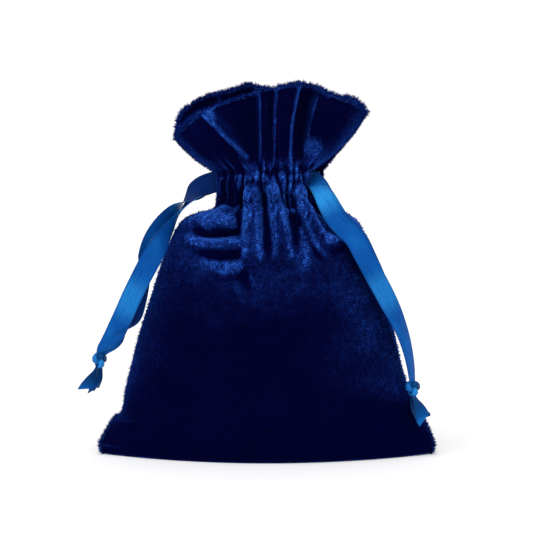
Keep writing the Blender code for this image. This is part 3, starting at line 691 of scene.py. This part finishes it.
def strip_points(route, widths, rolls, columns=8, across=None, cut=0.0, start=0.0):
    """A ribbon's grid along a route, in millimetres, and its UV map, which starts at that length along it.
    across is the fixed direction of its width, if it has one, and cut slants its far end."""
    share = np.linspace(0, 1, len(route))
    width = along(widths, share)[:, 0]
    roll = np.radians(along(rolls, share)[:, 0])
    tangent = np.gradient(route, axis=0)
    tangent /= np.linalg.norm(tangent, axis=1, keepdims=True)
    flat = np.cross(tangent, (0.0, -1.0, 0.0)) if across is None else np.tile(across, (len(route), 1))
    flat /= np.linalg.norm(flat, axis=1, keepdims=True)
    face = np.cross(flat, tangent)
    side = flat * np.cos(roll)[:, None] + face * np.sin(roll)[:, None]
    up = np.cross(side, tangent)
    u = np.linspace(-1, 1, columns + 1)
    cup = CUP * (1 - u * u) * (width[:, None] / RIBBON_WIDTH)
    points = (route[:, None] + side[:, None] * (width[:, None] / 2 * u)[..., None]
              + up[:, None] * cup[..., None])
    points[-1] += tangent[-1] * (cut * u)[:, None]
    length = lengths_along(route) + start
    uv = np.stack(np.broadcast_arrays((u + 1)[None, :] / 2, length[:, None] / RIBBON_WIDTH), axis=2)
    return points, uv


def ribbon_piece(name, route, widths, rolls, **settings):
    """A strip whose first side carries the shine. Its faces on the other side get reverse = 1."""
    points, uv = strip_points(route, widths, rolls, **settings)
    piece = cloth_piece(name, points * MM, RIBBON_THICKNESS * MM, uv)
    reverse = piece.data.attributes.new("reverse", "FLOAT", "FACE")
    faces = (points.shape[0] - 1) * (points.shape[1] - 1)
    values = np.zeros(len(piece.data.polygons), dtype=np.float32)
    values[faces:2 * faces] = 1
    reverse.data.foreach_set("value", values)
    return piece


# %% The four free strands
# Shares of the full width and rolls in degrees, each at its share of the length.
STRAND_STEP = 0.7
PINCH = 0.34
UPPER_POINTS = 13       # the first points of a strand bend between the slit and the tail

STRANDS = {
    "left_front": (LEFT_FRONT, [(0, 1.06), (0.84, 1), (1, PINCH)],
                   [(0, 178), (0.08, 168), (0.155, 112), (0.26, 82), (0.36, 50), (0.46, 14), (0.62, -12),
                    (0.85, -6), (1, 30)]),
    "left_back": (LEFT_BACK, [(0, 1), (0.84, 1), (1, PINCH)],
                  [(0, 176), (0.1, 172), (0.18, 104), (0.26, 46), (0.38, 20), (0.5, 40), (0.62, 160),
                   (0.74, 172), (0.82, 100), (0.92, 20), (1, -20)]),
    "right_front": (RIGHT_FRONT, [(0, 1), (0.6, 1), (0.78, 0.8), (0.9, 0.62), (1, PINCH)],
                    [(0, 0), (0.06, 26), (0.12, 34), (0.2, 22), (0.3, 14), (0.5, 18), (0.65, 24), (0.8, 40),
                     (0.9, 46), (1, 40)]),
    "right_back": (RIGHT_BACK, [(0, 1), (0.9, 0.9), (1, PINCH)],
                   [(0, 0), (0.06, 22), (0.12, 28), (0.2, 12), (0.5, 20), (0.62, 46), (0.74, 84), (1, 88)]),
}


def knot_box(ribbon):
    """The low and high corners of a ribbon's knot in the frame, in millimetres."""
    return [np.array(corner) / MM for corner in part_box(f"{ribbon}_ribbon_knot")]


def knot_entry(name):
    """The place just inside the top of its knot where a strand ends."""
    ribbon, half = name.split("_")
    low, high = knot_box(ribbon)
    middle = (low + high) / 2
    return (middle[0], middle[1] + (-0.3 if half == "front" else 0.3), high[2] - 0.3 * (high - low)[2])


strand_routes, upper_strands, lower_strands = {}, {}, {}
for name, (stops, shares, rolls) in STRANDS.items():
    route = route_through(stops + [knot_entry(name)], STRAND_STEP)
    all_shares = np.linspace(0, 1, len(route))
    widths = along(shares, all_shares)[:, 0] * RIBBON_WIDTH
    turned = along(rolls, all_shares)[:, 0]
    strand_routes[name] = route
    for part, first, last, store in (("upper", 0, UPPER_POINTS, upper_strands),
                                     ("strand", UPPER_POINTS - 1, len(route), lower_strands)):
        places = np.linspace(0, 1, last - first)
        part_widths, part_rolls = (list(zip(places, values[first:last])) for values in (widths, turned))
        store[name] = ribbon_piece(f"{name}_ribbon_{part}", route[first:last], part_widths, part_rolls,
                                   start=first * STRAND_STEP)
    print(f"{name} strand is {lengths_along(route)[-1]:.1f} mm long")

# %% [markdown]
# Inside the channel each ribbon runs round the neck between the cloth's two layers: in through its own
# slit, round the front, back across the far slit and home along the back. Front and back are separate
# strips, because the two halves of the mouth part when it opens. The gathers touch them, so they stay just
# under the creases.

# %% The ribbons in the channel
NECK_LEVEL = along(LEVELS, [CHANNEL_MIDDLE])[0]
RUN_INSET = {"left": 2.35, "right": 2.75}
RUN_STEP = 0.6
RUN_WIDTHS, RUN_ROLLS = [(0, RIBBON_WIDTH), (1, RIBBON_WIDTH)], [(0, 0), (1, 0)]


def channel_run(ribbon, side):
    """From the slit where the ribbon comes out, round one half of the neck, to the far slit."""
    exit_sign = -1 if ribbon == "left" else 1
    inset = RUN_INSET[ribbon]
    middle = (NECK_LEVEL[2] + NECK_LEVEL[4]) / 2
    half = (NECK_LEVEL[4] - NECK_LEVEL[2]) / 2 - inset + 0.9
    depth = NECK_LEVEL[0] - inset
    angles = np.radians(np.linspace(60 if exit_sign < 0 else 30, -90, 13))
    arc = [(middle + exit_sign * half * sin(a), side * (0.1 + depth * cos(a)), CHANNEL_MIDDLE)
           for a in angles]
    start = strand_routes[f"{ribbon}_front" if side < 0 else f"{ribbon}_back"][0]
    return route_through([tuple(start)] + arc, RUN_STEP)


runs = {}
for ribbon in ("left", "right"):
    for half, side in (("front", -1), ("back", 1)):
        route = channel_run(ribbon, side)
        runs[ribbon, half] = ribbon_piece(f"{ribbon}_ribbon_{half}_channel", route, RUN_WIDTHS, RUN_ROLLS,
                                          across=UPWARDS, columns=4)
print(len(runs), "runs in the channel")

# %% [markdown]
# ## Knots
# Each ribbon's two ends are tied together with one overhand knot. An overhand knot is a trefoil curve
# pulled tight, and a ribbon in it is squeezed to a flat bundle, so the knot is a tube with an oval section
# that is swept once round a small trefoil. The ends below it open from the pinch and are cut on the slant.


# %% Tubes
def tube_piece(name, path, half_width, half_height, sides=10):
    """A closed tube with an oval section round a closed path, in millimetres."""
    points = np.asarray(path)
    tangent = np.roll(points, -1, axis=0) - np.roll(points, 1, axis=0)
    tangent /= np.linalg.norm(tangent, axis=1, keepdims=True)
    outward = points - points.mean(axis=0)
    outward -= np.sum(outward * tangent, axis=1, keepdims=True) * tangent
    outward /= np.linalg.norm(outward, axis=1, keepdims=True)
    side = np.cross(tangent, outward)
    turn = np.linspace(0, 2 * pi, sides + 1)
    rings = (points[:, None] + side[:, None] * (half_width * np.cos(turn))[None, :, None]
             + outward[:, None] * (half_height * np.sin(turn))[None, :, None])
    rings = np.concatenate([rings, rings[:1]])
    length = np.arange(len(rings)) / len(points) * 3.0
    uv = np.stack(np.broadcast_arrays(turn[None, :] / (2 * pi), length[:, None]), axis=2)
    bm = bmesh.new()
    place_grid(bm, rings * MM, uv)
    bmesh.ops.remove_doubles(bm, verts=bm.verts, dist=1e-7)
    bmesh.ops.recalc_face_normals(bm, faces=bm.faces)
    return new_piece(name, bm)


# %% Tie the knots and cut the ends
KNOT_HALF_WIDTH = 1.0
KNOT_HALF_HEIGHT = 0.62
KNOT_POINTS = 72
TREFOIL_REACH = (2.7, 0.8, 2.9)
END_WIDTHS = [(0, 1.6), (0.25, 2.2), (0.6, 3.9), (1, 4.8)]
END_STEP = 0.5
CUT_SLANT = 1.4
# From the knot's middle: where the front and back ends go.
END_ROUTES = {
    "left": ([(-0.3, -0.5, -1.4), (-0.9, -0.7, -3.1), (-2.2, -0.9, -5.6), (-3.8, -1.0, -8.6)],
             [(0.0, 0.5, -1.4), (-0.1, 0.7, -3.2), (-0.6, 0.9, -5.6), (-1.8, 1.0, -9.0)]),
    "right": ([(0.2, -0.5, -1.4), (0.6, -0.7, -3.1), (2.0, -0.9, -6.0), (3.4, -1.0, -9.4)],
              [(0.0, 0.5, -1.4), (0.2, 0.7, -3.1), (0.6, 0.9, -5.8), (1.6, 1.0, -8.6)]),
}
END_ROLLS = {"left": ([(0, 60), (0.5, 40), (1, 10)], [(0, 20), (1, 60)]),
             "right": ([(0, 60), (0.5, 35), (1, 20)], [(0, 30), (1, 70)])}

knots, cut_ends = {}, {}
for ribbon in ("left", "right"):
    low, high = knot_box(ribbon)
    centre, size = (low + high) / 2, high - low
    t = np.linspace(0, 2 * pi, KNOT_POINTS, endpoint=False)
    loop = np.stack([np.sin(t) + 2 * np.sin(2 * t), 0.8 * np.sin(3 * t),
                     np.cos(t) - 2 * np.cos(2 * t)], axis=1)
    reach = (size / 2 - KNOT_HALF_HEIGHT) / TREFOIL_REACH
    knots[ribbon] = tube_piece(f"{ribbon}_knot_wraps", centre + loop * reach, KNOT_HALF_WIDTH,
                               KNOT_HALF_HEIGHT)
    for half, stops, rolls in zip(("front", "back"), END_ROUTES[ribbon], END_ROLLS[ribbon]):
        route = route_through([centre + np.array(stop) for stop in stops], END_STEP)
        cut_ends[ribbon, half] = ribbon_piece(f"{ribbon}_{half}_cut_end", route, END_WIDTHS, rolls,
                                              cut=CUT_SLANT)
print("knots are", [round(float(v), 1) for v in size], "mm")

# %% [markdown]
# ## Stitching
# Two rows of lock stitch hold the facing and so make the channel. The pile almost swallows them: only the
# bottoms of the puckers show a short length of thread here and there. Every stitch is a small closed tube
# whose ends dive into the cloth.

# %% Stitches
STITCH_LENGTH = 2.2
THREAD_RADIUS = 0.16
STITCH_DIVE = np.array([-0.50, -0.24, -0.17, -0.15, -0.17, -0.24, -0.50])


def stitch_row(name, grid, row, side):
    """Stitches along one row of the grid, sunk into the outer face."""
    places = grid[row, 6:-6]
    length = lengths_along(places)
    bm = bmesh.new()
    for i in range(int(length[-1] / STITCH_LENGTH)):
        span = np.linspace(i + 0.12, i + 0.88, 7) * STITCH_LENGTH
        points = np.stack([np.interp(span, length, places[:, k]) for k in range(3)], axis=1)
        points[:, 1] += side * STITCH_DIVE
        for a, b in zip(points, points[1:]):
            direction = Vector(b - a)
            turn = direction.to_track_quat("Z", "Y").to_matrix().to_4x4()
            bmesh.ops.create_cone(bm, cap_ends=True, cap_tris=True, segments=6, radius1=THREAD_RADIUS * MM,
                                  radius2=THREAD_RADIUS * MM, depth=(direction.length + 0.08) * MM,
                                  matrix=Matrix.Translation(Vector((a + b) / 2) * MM) @ turn)
    return new_piece(name, bm)


stitches = {}
for half, (grid, side) in HALVES.items():
    middle_column = grid[BASE_ROWS:RUFFLE_FOOT, COLUMNS // 2, 2]
    for row_name, height in (("lower", channel_low + 0.5), ("upper", channel_high - 0.5)):
        row = BASE_ROWS + int(np.argmin(np.abs(middle_column - height)))
        stitches[half, row_name] = stitch_row(f"{half}_{row_name}_stitches", grid, row, side)
print(len(stitches), "rows of stitches")

# %% [markdown]
# ## Light and floor
# A white floor and white surroundings, a broad soft light from above, a weak one from the left and a narrower
# one from the front. Velvet shows its form by how its pile catches such light, together with sheen,
# highlights and shade painted into its colour, and satin by a soft streak and painted highlights.

# %% Floor
bm = bmesh.new()
bmesh.ops.create_grid(bm, x_segments=1, y_segments=1, size=6.0)
floor = new_piece("floor", bm, smooth=False)
floor.data.transform(Matrix.Translation((0, 0, -0.05 * MM)))


# %% [markdown]
# ## Finishes
# Every finish is built from nodes. Colours are sRGB hex values, turned to the linear values that shaders
# use by one function, and one more function adds a node with its settings and links.

# %% Material tools
def linear(hex_colour):
    """An sRGB hex colour as linear values."""
    channels = [int(hex_colour[i:i + 2], 16) / 255 for i in (0, 2, 4)]
    return tuple(c / 12.92 if c <= 0.04045 else ((c + 0.055) / 1.055) ** 2.4 for c in channels) + (1.0,)


def add_node(tree, kind, settings=None, **inputs):
    """A node of that kind with its settings. Inputs are set to values or linked from other nodes' sockets: an
    input is named with _ for a space, or i and its number."""
    node = tree.nodes.new(f"ShaderNode{kind}")
    for name, value in (settings or {}).items():
        setattr(node, name, value)
    for name, value in inputs.items():
        key = int(name[1:]) if name[0] == "i" and name[1:].isdigit() else name.replace("_", " ")
        socket = node.inputs[key]
        if isinstance(value, bpy.types.NodeSocket):
            tree.links.new(value, socket)
        else:
            socket.default_value = value
    return node


def new_material(name):
    """A material with only its output node."""
    material = bpy.data.materials.new(name)
    material.use_nodes = True
    tree = material.node_tree
    tree.nodes.clear()
    return material, tree, tree.nodes.new("ShaderNodeOutputMaterial")


def ramp(tree, value, low, high, to_low=0.0, to_high=1.0):
    """The value's range from low to high, stretched to another range and kept inside it."""
    return add_node(tree, "MapRange", Value=value, From_Min=low, From_Max=high, To_Min=to_low,
                    To_Max=to_high).outputs[0]


def combine(tree, operation, a, b, c=0.0):
    """The result of one sum on values or sockets."""
    return add_node(tree, "Math", {"operation": operation}, i0=a, i1=b, i2=c).outputs[0]


def times(tree, a, b):
    return combine(tree, "MULTIPLY", a, b)


def mix_colour(tree, factor, first, second):
    """first where the factor is 0 and second where it is 1."""
    return add_node(tree, "Mix", {"data_type": "RGBA"}, Factor=factor, i6=first, i7=second).outputs[2]


# %% [markdown]
# Velvet is polyester pile on a woven ground. Looked at along the fibres it swallows the light and is nearly
# black blue. Looked at across them, at an edge or on a fold, each fibre's side shines. Here that sheen is
# painted into the colour: it goes from a deep one to a bright one as the surface turns edge-on to the view,
# and with the pile value that the cloth carries, which holds painted highlights and shade. A fine grain
# breaks both up into specks. Fibres are about 0.02 mm thick; the grain is drawn at 0.42 mm, which is how
# coarse their tufts look.


# %% Polyester velvet
def make_velvet_with_painted_sheen(name, deep, lit, middle, bright, pile_with_painted_light_attribute=True):
    """Colours for the ground, deep to lit, mixed by noise, and for the painted sheen and highlights, middle
    to bright.
    """
    material, tree, output = new_material(name)
    place = add_node(tree, "TexCoord").outputs["Object"]
    grain = add_node(tree, "TexNoise", Vector=place, Scale=1 / (0.42 * MM), Detail=2.0, Roughness=0.7)
    tufts = add_node(tree, "TexNoise", Vector=place, Scale=1 / (1.6 * MM), Detail=3.0, Roughness=0.6)
    crush = add_node(tree, "TexNoise", Vector=place, Scale=1 / (11 * MM), Detail=3.0, Roughness=0.5)
    bump = add_node(tree, "Bump", Height=grain.outputs["Fac"], Strength=0.55, Distance=0.3 * MM)
    # Painted sheen: the colour brightens as the surface turns edge-on to the view.
    facing = add_node(tree, "LayerWeight", Blend=0.5, Normal=bump.outputs["Normal"]).outputs["Facing"]
    turned = ramp(tree, facing, 0.34, 0.92)
    turned = combine(tree, "POWER", turned, 1.5)
    specks = ramp(tree, grain.outputs["Fac"], 0.43, 0.62)
    patches = times(tree, ramp(tree, tufts.outputs["Fac"], 0.38, 0.62, 0.35, 1.0),
                    ramp(tree, crush.outputs["Fac"], 0.36, 0.64, 0.4, 1.0))
    specked = combine(tree, "MULTIPLY_ADD", specks, 0.8, 0.2)
    shine = times(tree, turned, specked)
    # The pile value adds painted highlights, and below 0 it lowers the painted sheen for painted shade.
    if pile_with_painted_light_attribute:
        pile = add_node(tree, "Attribute", {"attribute_name": "pile"}).outputs["Fac"]
        closed = ramp(tree, pile, -0.8, 0.1, 0.12, 1.0)
        painted_pile_highlight = times(tree, ramp(tree, pile, 0.0, 1.0), times(tree, patches, specked))
        shine = combine(tree, "MULTIPLY_ADD", shine, closed, times(tree, painted_pile_highlight, 1.15))
    shine = combine(tree, "MINIMUM", shine, 1.0)
    ground = mix_colour(tree, times(tree, patches, specks), linear(deep), linear(lit))
    colour = mix_colour(tree, shine, ground, mix_colour(tree, shine, linear(middle), linear(bright)))
    shader = add_node(tree, "BsdfPrincipled", Base_Color=colour, Roughness=0.8, Normal=bump.outputs["Normal"],
                      Specular_IOR_Level=0.0, Sheen_Weight=0.12, Sheen_Roughness=0.35,
                      Sheen_Tint=linear("1038C8"))
    tree.links.new(shader.outputs[0], output.inputs["Surface"])
    return material


# All three finishes carry the painted sheen. The pile fibres' finish is a brighter copy of the velvet's: a
# painted highlight for the light their tufts catch along the outlines.
velvet = make_velvet_with_painted_sheen("polyester velvet", "030324", "050638", "2053D3", "3876E4")
velvet_fibre_with_painted_highlight = make_velvet_with_painted_sheen("velvet pile fibre", "081050", "14389C", "2860D8", "4C98F0",
                           pile_with_painted_light_attribute=False)
velvet_reverse = make_velvet_with_painted_sheen("velvet seam allowance", "02021A", "05062C", "0A1E60", "0C2468",
                             pile_with_painted_light_attribute=False)

# %% [markdown]
# Satin ribbon is woven so that long threads float along one side: that side shines in a streak across the
# ribbon, and shows the weave as fine slanting lines. The other side is duller and darker. Both edges are
# bound by tiny loops. The lines are really about 0.15 mm apart; they are drawn at 0.55 mm so that they show.
# Counted from each strip's start, one stretch just past it and a fainter one further along get a painted
# highlight across the ribbon. Noisy patches get a faint painted gleam, and the first few millimetres get
# painted shade.


# %% Satin ribbon
def make_satin():
    """Satin whose UV map runs once across the ribbon, and along it in steps of the ribbon's width."""
    material, tree, output = new_material("polyester satin ribbon")
    uv = add_node(tree, "TexCoord").outputs["UV"]
    axis = add_node(tree, "SeparateXYZ", Vector=uv)
    across_it, along_it = axis.outputs["X"], axis.outputs["Y"]
    slant = combine(tree, "MULTIPLY_ADD", across_it, 0.8, along_it)
    weave = combine(tree, "SINE", times(tree, slant, 2 * pi * RIBBON_WIDTH / 0.55), 0.0)
    from_middle = combine(tree, "ABSOLUTE", combine(tree, "SUBTRACT", across_it, 0.5), 0.0)
    selvedge = ramp(tree, from_middle, 0.5 - 0.55 / RIBBON_WIDTH, 0.5 - 0.35 / RIBBON_WIDTH)
    loops = combine(tree, "SINE", times(tree, along_it, 2 * pi * RIBBON_WIDTH / 0.7), 0.0)
    edge_loops = times(tree, ramp(tree, loops, -0.4, 0.6), selvedge)
    stretched = add_node(tree, "Mapping", Vector=uv, Scale=(24.0, 1.0, 1.0))
    threads = add_node(tree, "TexNoise", Vector=stretched.outputs[0], Scale=1.0, Detail=3.0).outputs["Fac"]
    # Painted gleam: noise that lightens patches of the shiny side a little.
    painted_gleam = add_node(tree, "TexNoise", Vector=uv, Scale=0.6, Detail=1.0).outputs["Fac"]
    shiny = mix_colour(tree, ramp(tree, threads, 0.3, 0.7), linear("05347A"), linear("084A9E"))
    # Painted highlight: a band just past each strip's start and a fainter one further along. Painted shade:
    # the first few millimetres of each strip are darkened.
    bright = times(tree, ramp(tree, along_it, 1.2, 1.9), ramp(tree, along_it, 3.1, 2.2))
    lower = times(tree, ramp(tree, along_it, 6.4, 7.2, 0.0, 0.5), ramp(tree, along_it, 9.0, 8.2))
    bright = times(tree, combine(tree, "MAXIMUM", bright, lower), ramp(tree, threads, 0.25, 0.75, 0.4, 1.0))
    shiny = mix_colour(tree, times(tree, bright, 0.85), shiny, linear("38ACF8"))
    shiny = mix_colour(tree, ramp(tree, painted_gleam, 0.45, 0.65, 0.0, 0.25), shiny, linear("1272C8"))
    # Painted shade on the first few millimetres of each strip.
    shiny = mix_colour(tree, ramp(tree, along_it, 1.5, 0.7, 0.0, 0.9), shiny, linear("03143A"))
    shiny = mix_colour(tree, times(tree, ramp(tree, weave, -1.0, 1.0), 0.3), shiny, linear("1474C8"))
    reverse = add_node(tree, "Attribute", {"attribute_name": "reverse"}).outputs["Fac"]
    sided = mix_colour(tree, reverse, shiny, linear("06205E"))
    colour = mix_colour(tree, times(tree, edge_loops, 0.7), sided, linear("062C68"))
    height = combine(tree, "MULTIPLY_ADD", weave, 0.3, edge_loops)
    bump = add_node(tree, "Bump", Height=height, Strength=0.4, Distance=0.07 * MM)
    shader = add_node(tree, "BsdfPrincipled", Base_Color=colour, Normal=bump.outputs["Normal"],
                      Roughness=ramp(tree, reverse, 0.0, 1.0, 0.3, 0.6), Specular_IOR_Level=0.3,
                      Specular_Tint=linear("4FA8FF"), Anisotropic=0.5)
    tree.links.new(shader.outputs[0], output.inputs["Surface"])
    return material


satin = make_satin()


# %% Polyester thread and white paper
def make_thread():
    """Twisted thread: fine slanting plies, slightly shiny."""
    material, tree, output = new_material("polyester thread")
    place = add_node(tree, "TexCoord").outputs["Object"]
    plies = add_node(tree, "TexWave", Vector=place, Scale=1 / (3 * MM), Distortion=1.0)
    colour = mix_colour(tree, plies.outputs["Fac"], linear("030524"), linear("070C3C"))
    bump = add_node(tree, "Bump", Height=plies.outputs["Fac"], Strength=0.4, Distance=0.05 * MM)
    shader = add_node(tree, "BsdfPrincipled", Base_Color=colour, Roughness=0.5, Normal=bump.outputs["Normal"],
                      Specular_IOR_Level=0.2)
    tree.links.new(shader.outputs[0], output.inputs["Surface"])
    return material


def make_paper():
    material, tree, output = new_material("white paper")
    shader = add_node(tree, "BsdfPrincipled", Base_Color=linear("FFFFFF"), Roughness=0.95,
                      Specular_IOR_Level=0.0)
    tree.links.new(shader.outputs[0], output.inputs["Surface"])
    return material


thread = make_thread()
floor.data.materials.append(make_paper())

# %% World and lights
WORLD_STRENGTH = 0.66
world = bpy.data.worlds.new("white studio")
bpy.context.scene.world = world
world.use_nodes = True
tree = world.node_tree
seen = add_node(tree, "LightPath").outputs["Is Camera Ray"]
strength = add_node(tree, "Mix", {"data_type": "FLOAT"}, Factor=seen, i2=WORLD_STRENGTH, i3=1.2)
background = tree.nodes["Background"]
background.inputs["Color"].default_value = (1, 1, 1, 1)
tree.links.new(strength.outputs[0], background.inputs["Strength"])
bpy.context.scene.view_settings.view_transform = "Standard"


def add_sun(name, towards, spread, power):
    """A distant soft light; towards is where it comes from."""
    data = bpy.data.lights.new(name, "SUN")
    data.angle = radians(spread)
    data.energy = power
    light = bpy.data.objects.new(name, data)
    light.rotation_euler = Vector(towards).to_track_quat("Z", "Y").to_euler()
    bpy.context.scene.collection.objects.link(light)


add_sun("overhead light", (-0.15, -0.35, 1.0), 40, 1.25)
add_sun("left light", (-1.0, -0.6, 0.5), 40, 0.25)
add_sun("front light", (0.3, -0.9, 0.5), 16, 0.4)

# %% [markdown]
# ## Put it on the frame
# The mouth opens by turning its two halves about the line where the cloth bends, and the ribbons bend twice:
# at the slit, where the tail starts, and above the knot. Here each piece gets its finish, the frame's parts
# that it stands for are hidden, and its placement is baked into its mesh. The knots and the cut ends are hung
# on their knot's body.


def bend_with_mouth(piece):
    """Bakes the piece's placement into its mesh."""
    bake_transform(piece)


def finish_piece(piece, material):
    piece.data.materials.clear()
    piece.data.materials.append(material)


for half, piece in panels.items():
    finish_piece(piece, velvet)
    finish_piece(pile_fringe[half], velvet_fibre_with_painted_highlight)
    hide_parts(f"{half}_panel", f"{half}_top", f"{half}_facing")
    bend_with_mouth(piece)
    bend_with_mouth(pile_fringe[half])
for (half, row_name), piece in stitches.items():
    finish_piece(piece, thread)
    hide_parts(f"{half}_{row_name}_stitching")
    bend_with_mouth(piece)

# %% Bind the ribbons
for (ribbon, half), piece in runs.items():
    finish_piece(piece, satin)
    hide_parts(f"{ribbon}_ribbon_{half}_run", f"{ribbon}_ribbon_turn")
    bend_with_mouth(piece)
for ribbon in ("left", "right"):
    finish_piece(knots[ribbon], satin)
    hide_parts(f"{ribbon}_ribbon_knot")
    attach(knots[ribbon], f"{ribbon}_knot")
    for half in ("front", "back"):
        piece = cut_ends[ribbon, half]
        finish_piece(piece, satin)
        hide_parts(f"{ribbon}_ribbon_{half}_end")
        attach(piece, f"{ribbon}_knot")

for name, route in strand_routes.items():
    ribbon, half = name.split("_")
    upper, lower = upper_strands[name], lower_strands[name]
    for piece in (upper, lower):
        finish_piece(piece, satin)
        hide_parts(f"{ribbon}_ribbon_{half}_strand")
    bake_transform(upper)
    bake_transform(lower)
    pieces = [upper]
    if half == "front":
        pieces += [knots[ribbon], cut_ends[ribbon, "front"], cut_ends[ribbon, "back"]]

# %% The seam allowances keep their shape
for name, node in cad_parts.items():
    node.data.materials.clear()
    material = satin if "ribbon" in name else thread if "stitching" in name else velvet_reverse
    node.data.materials.append(material)
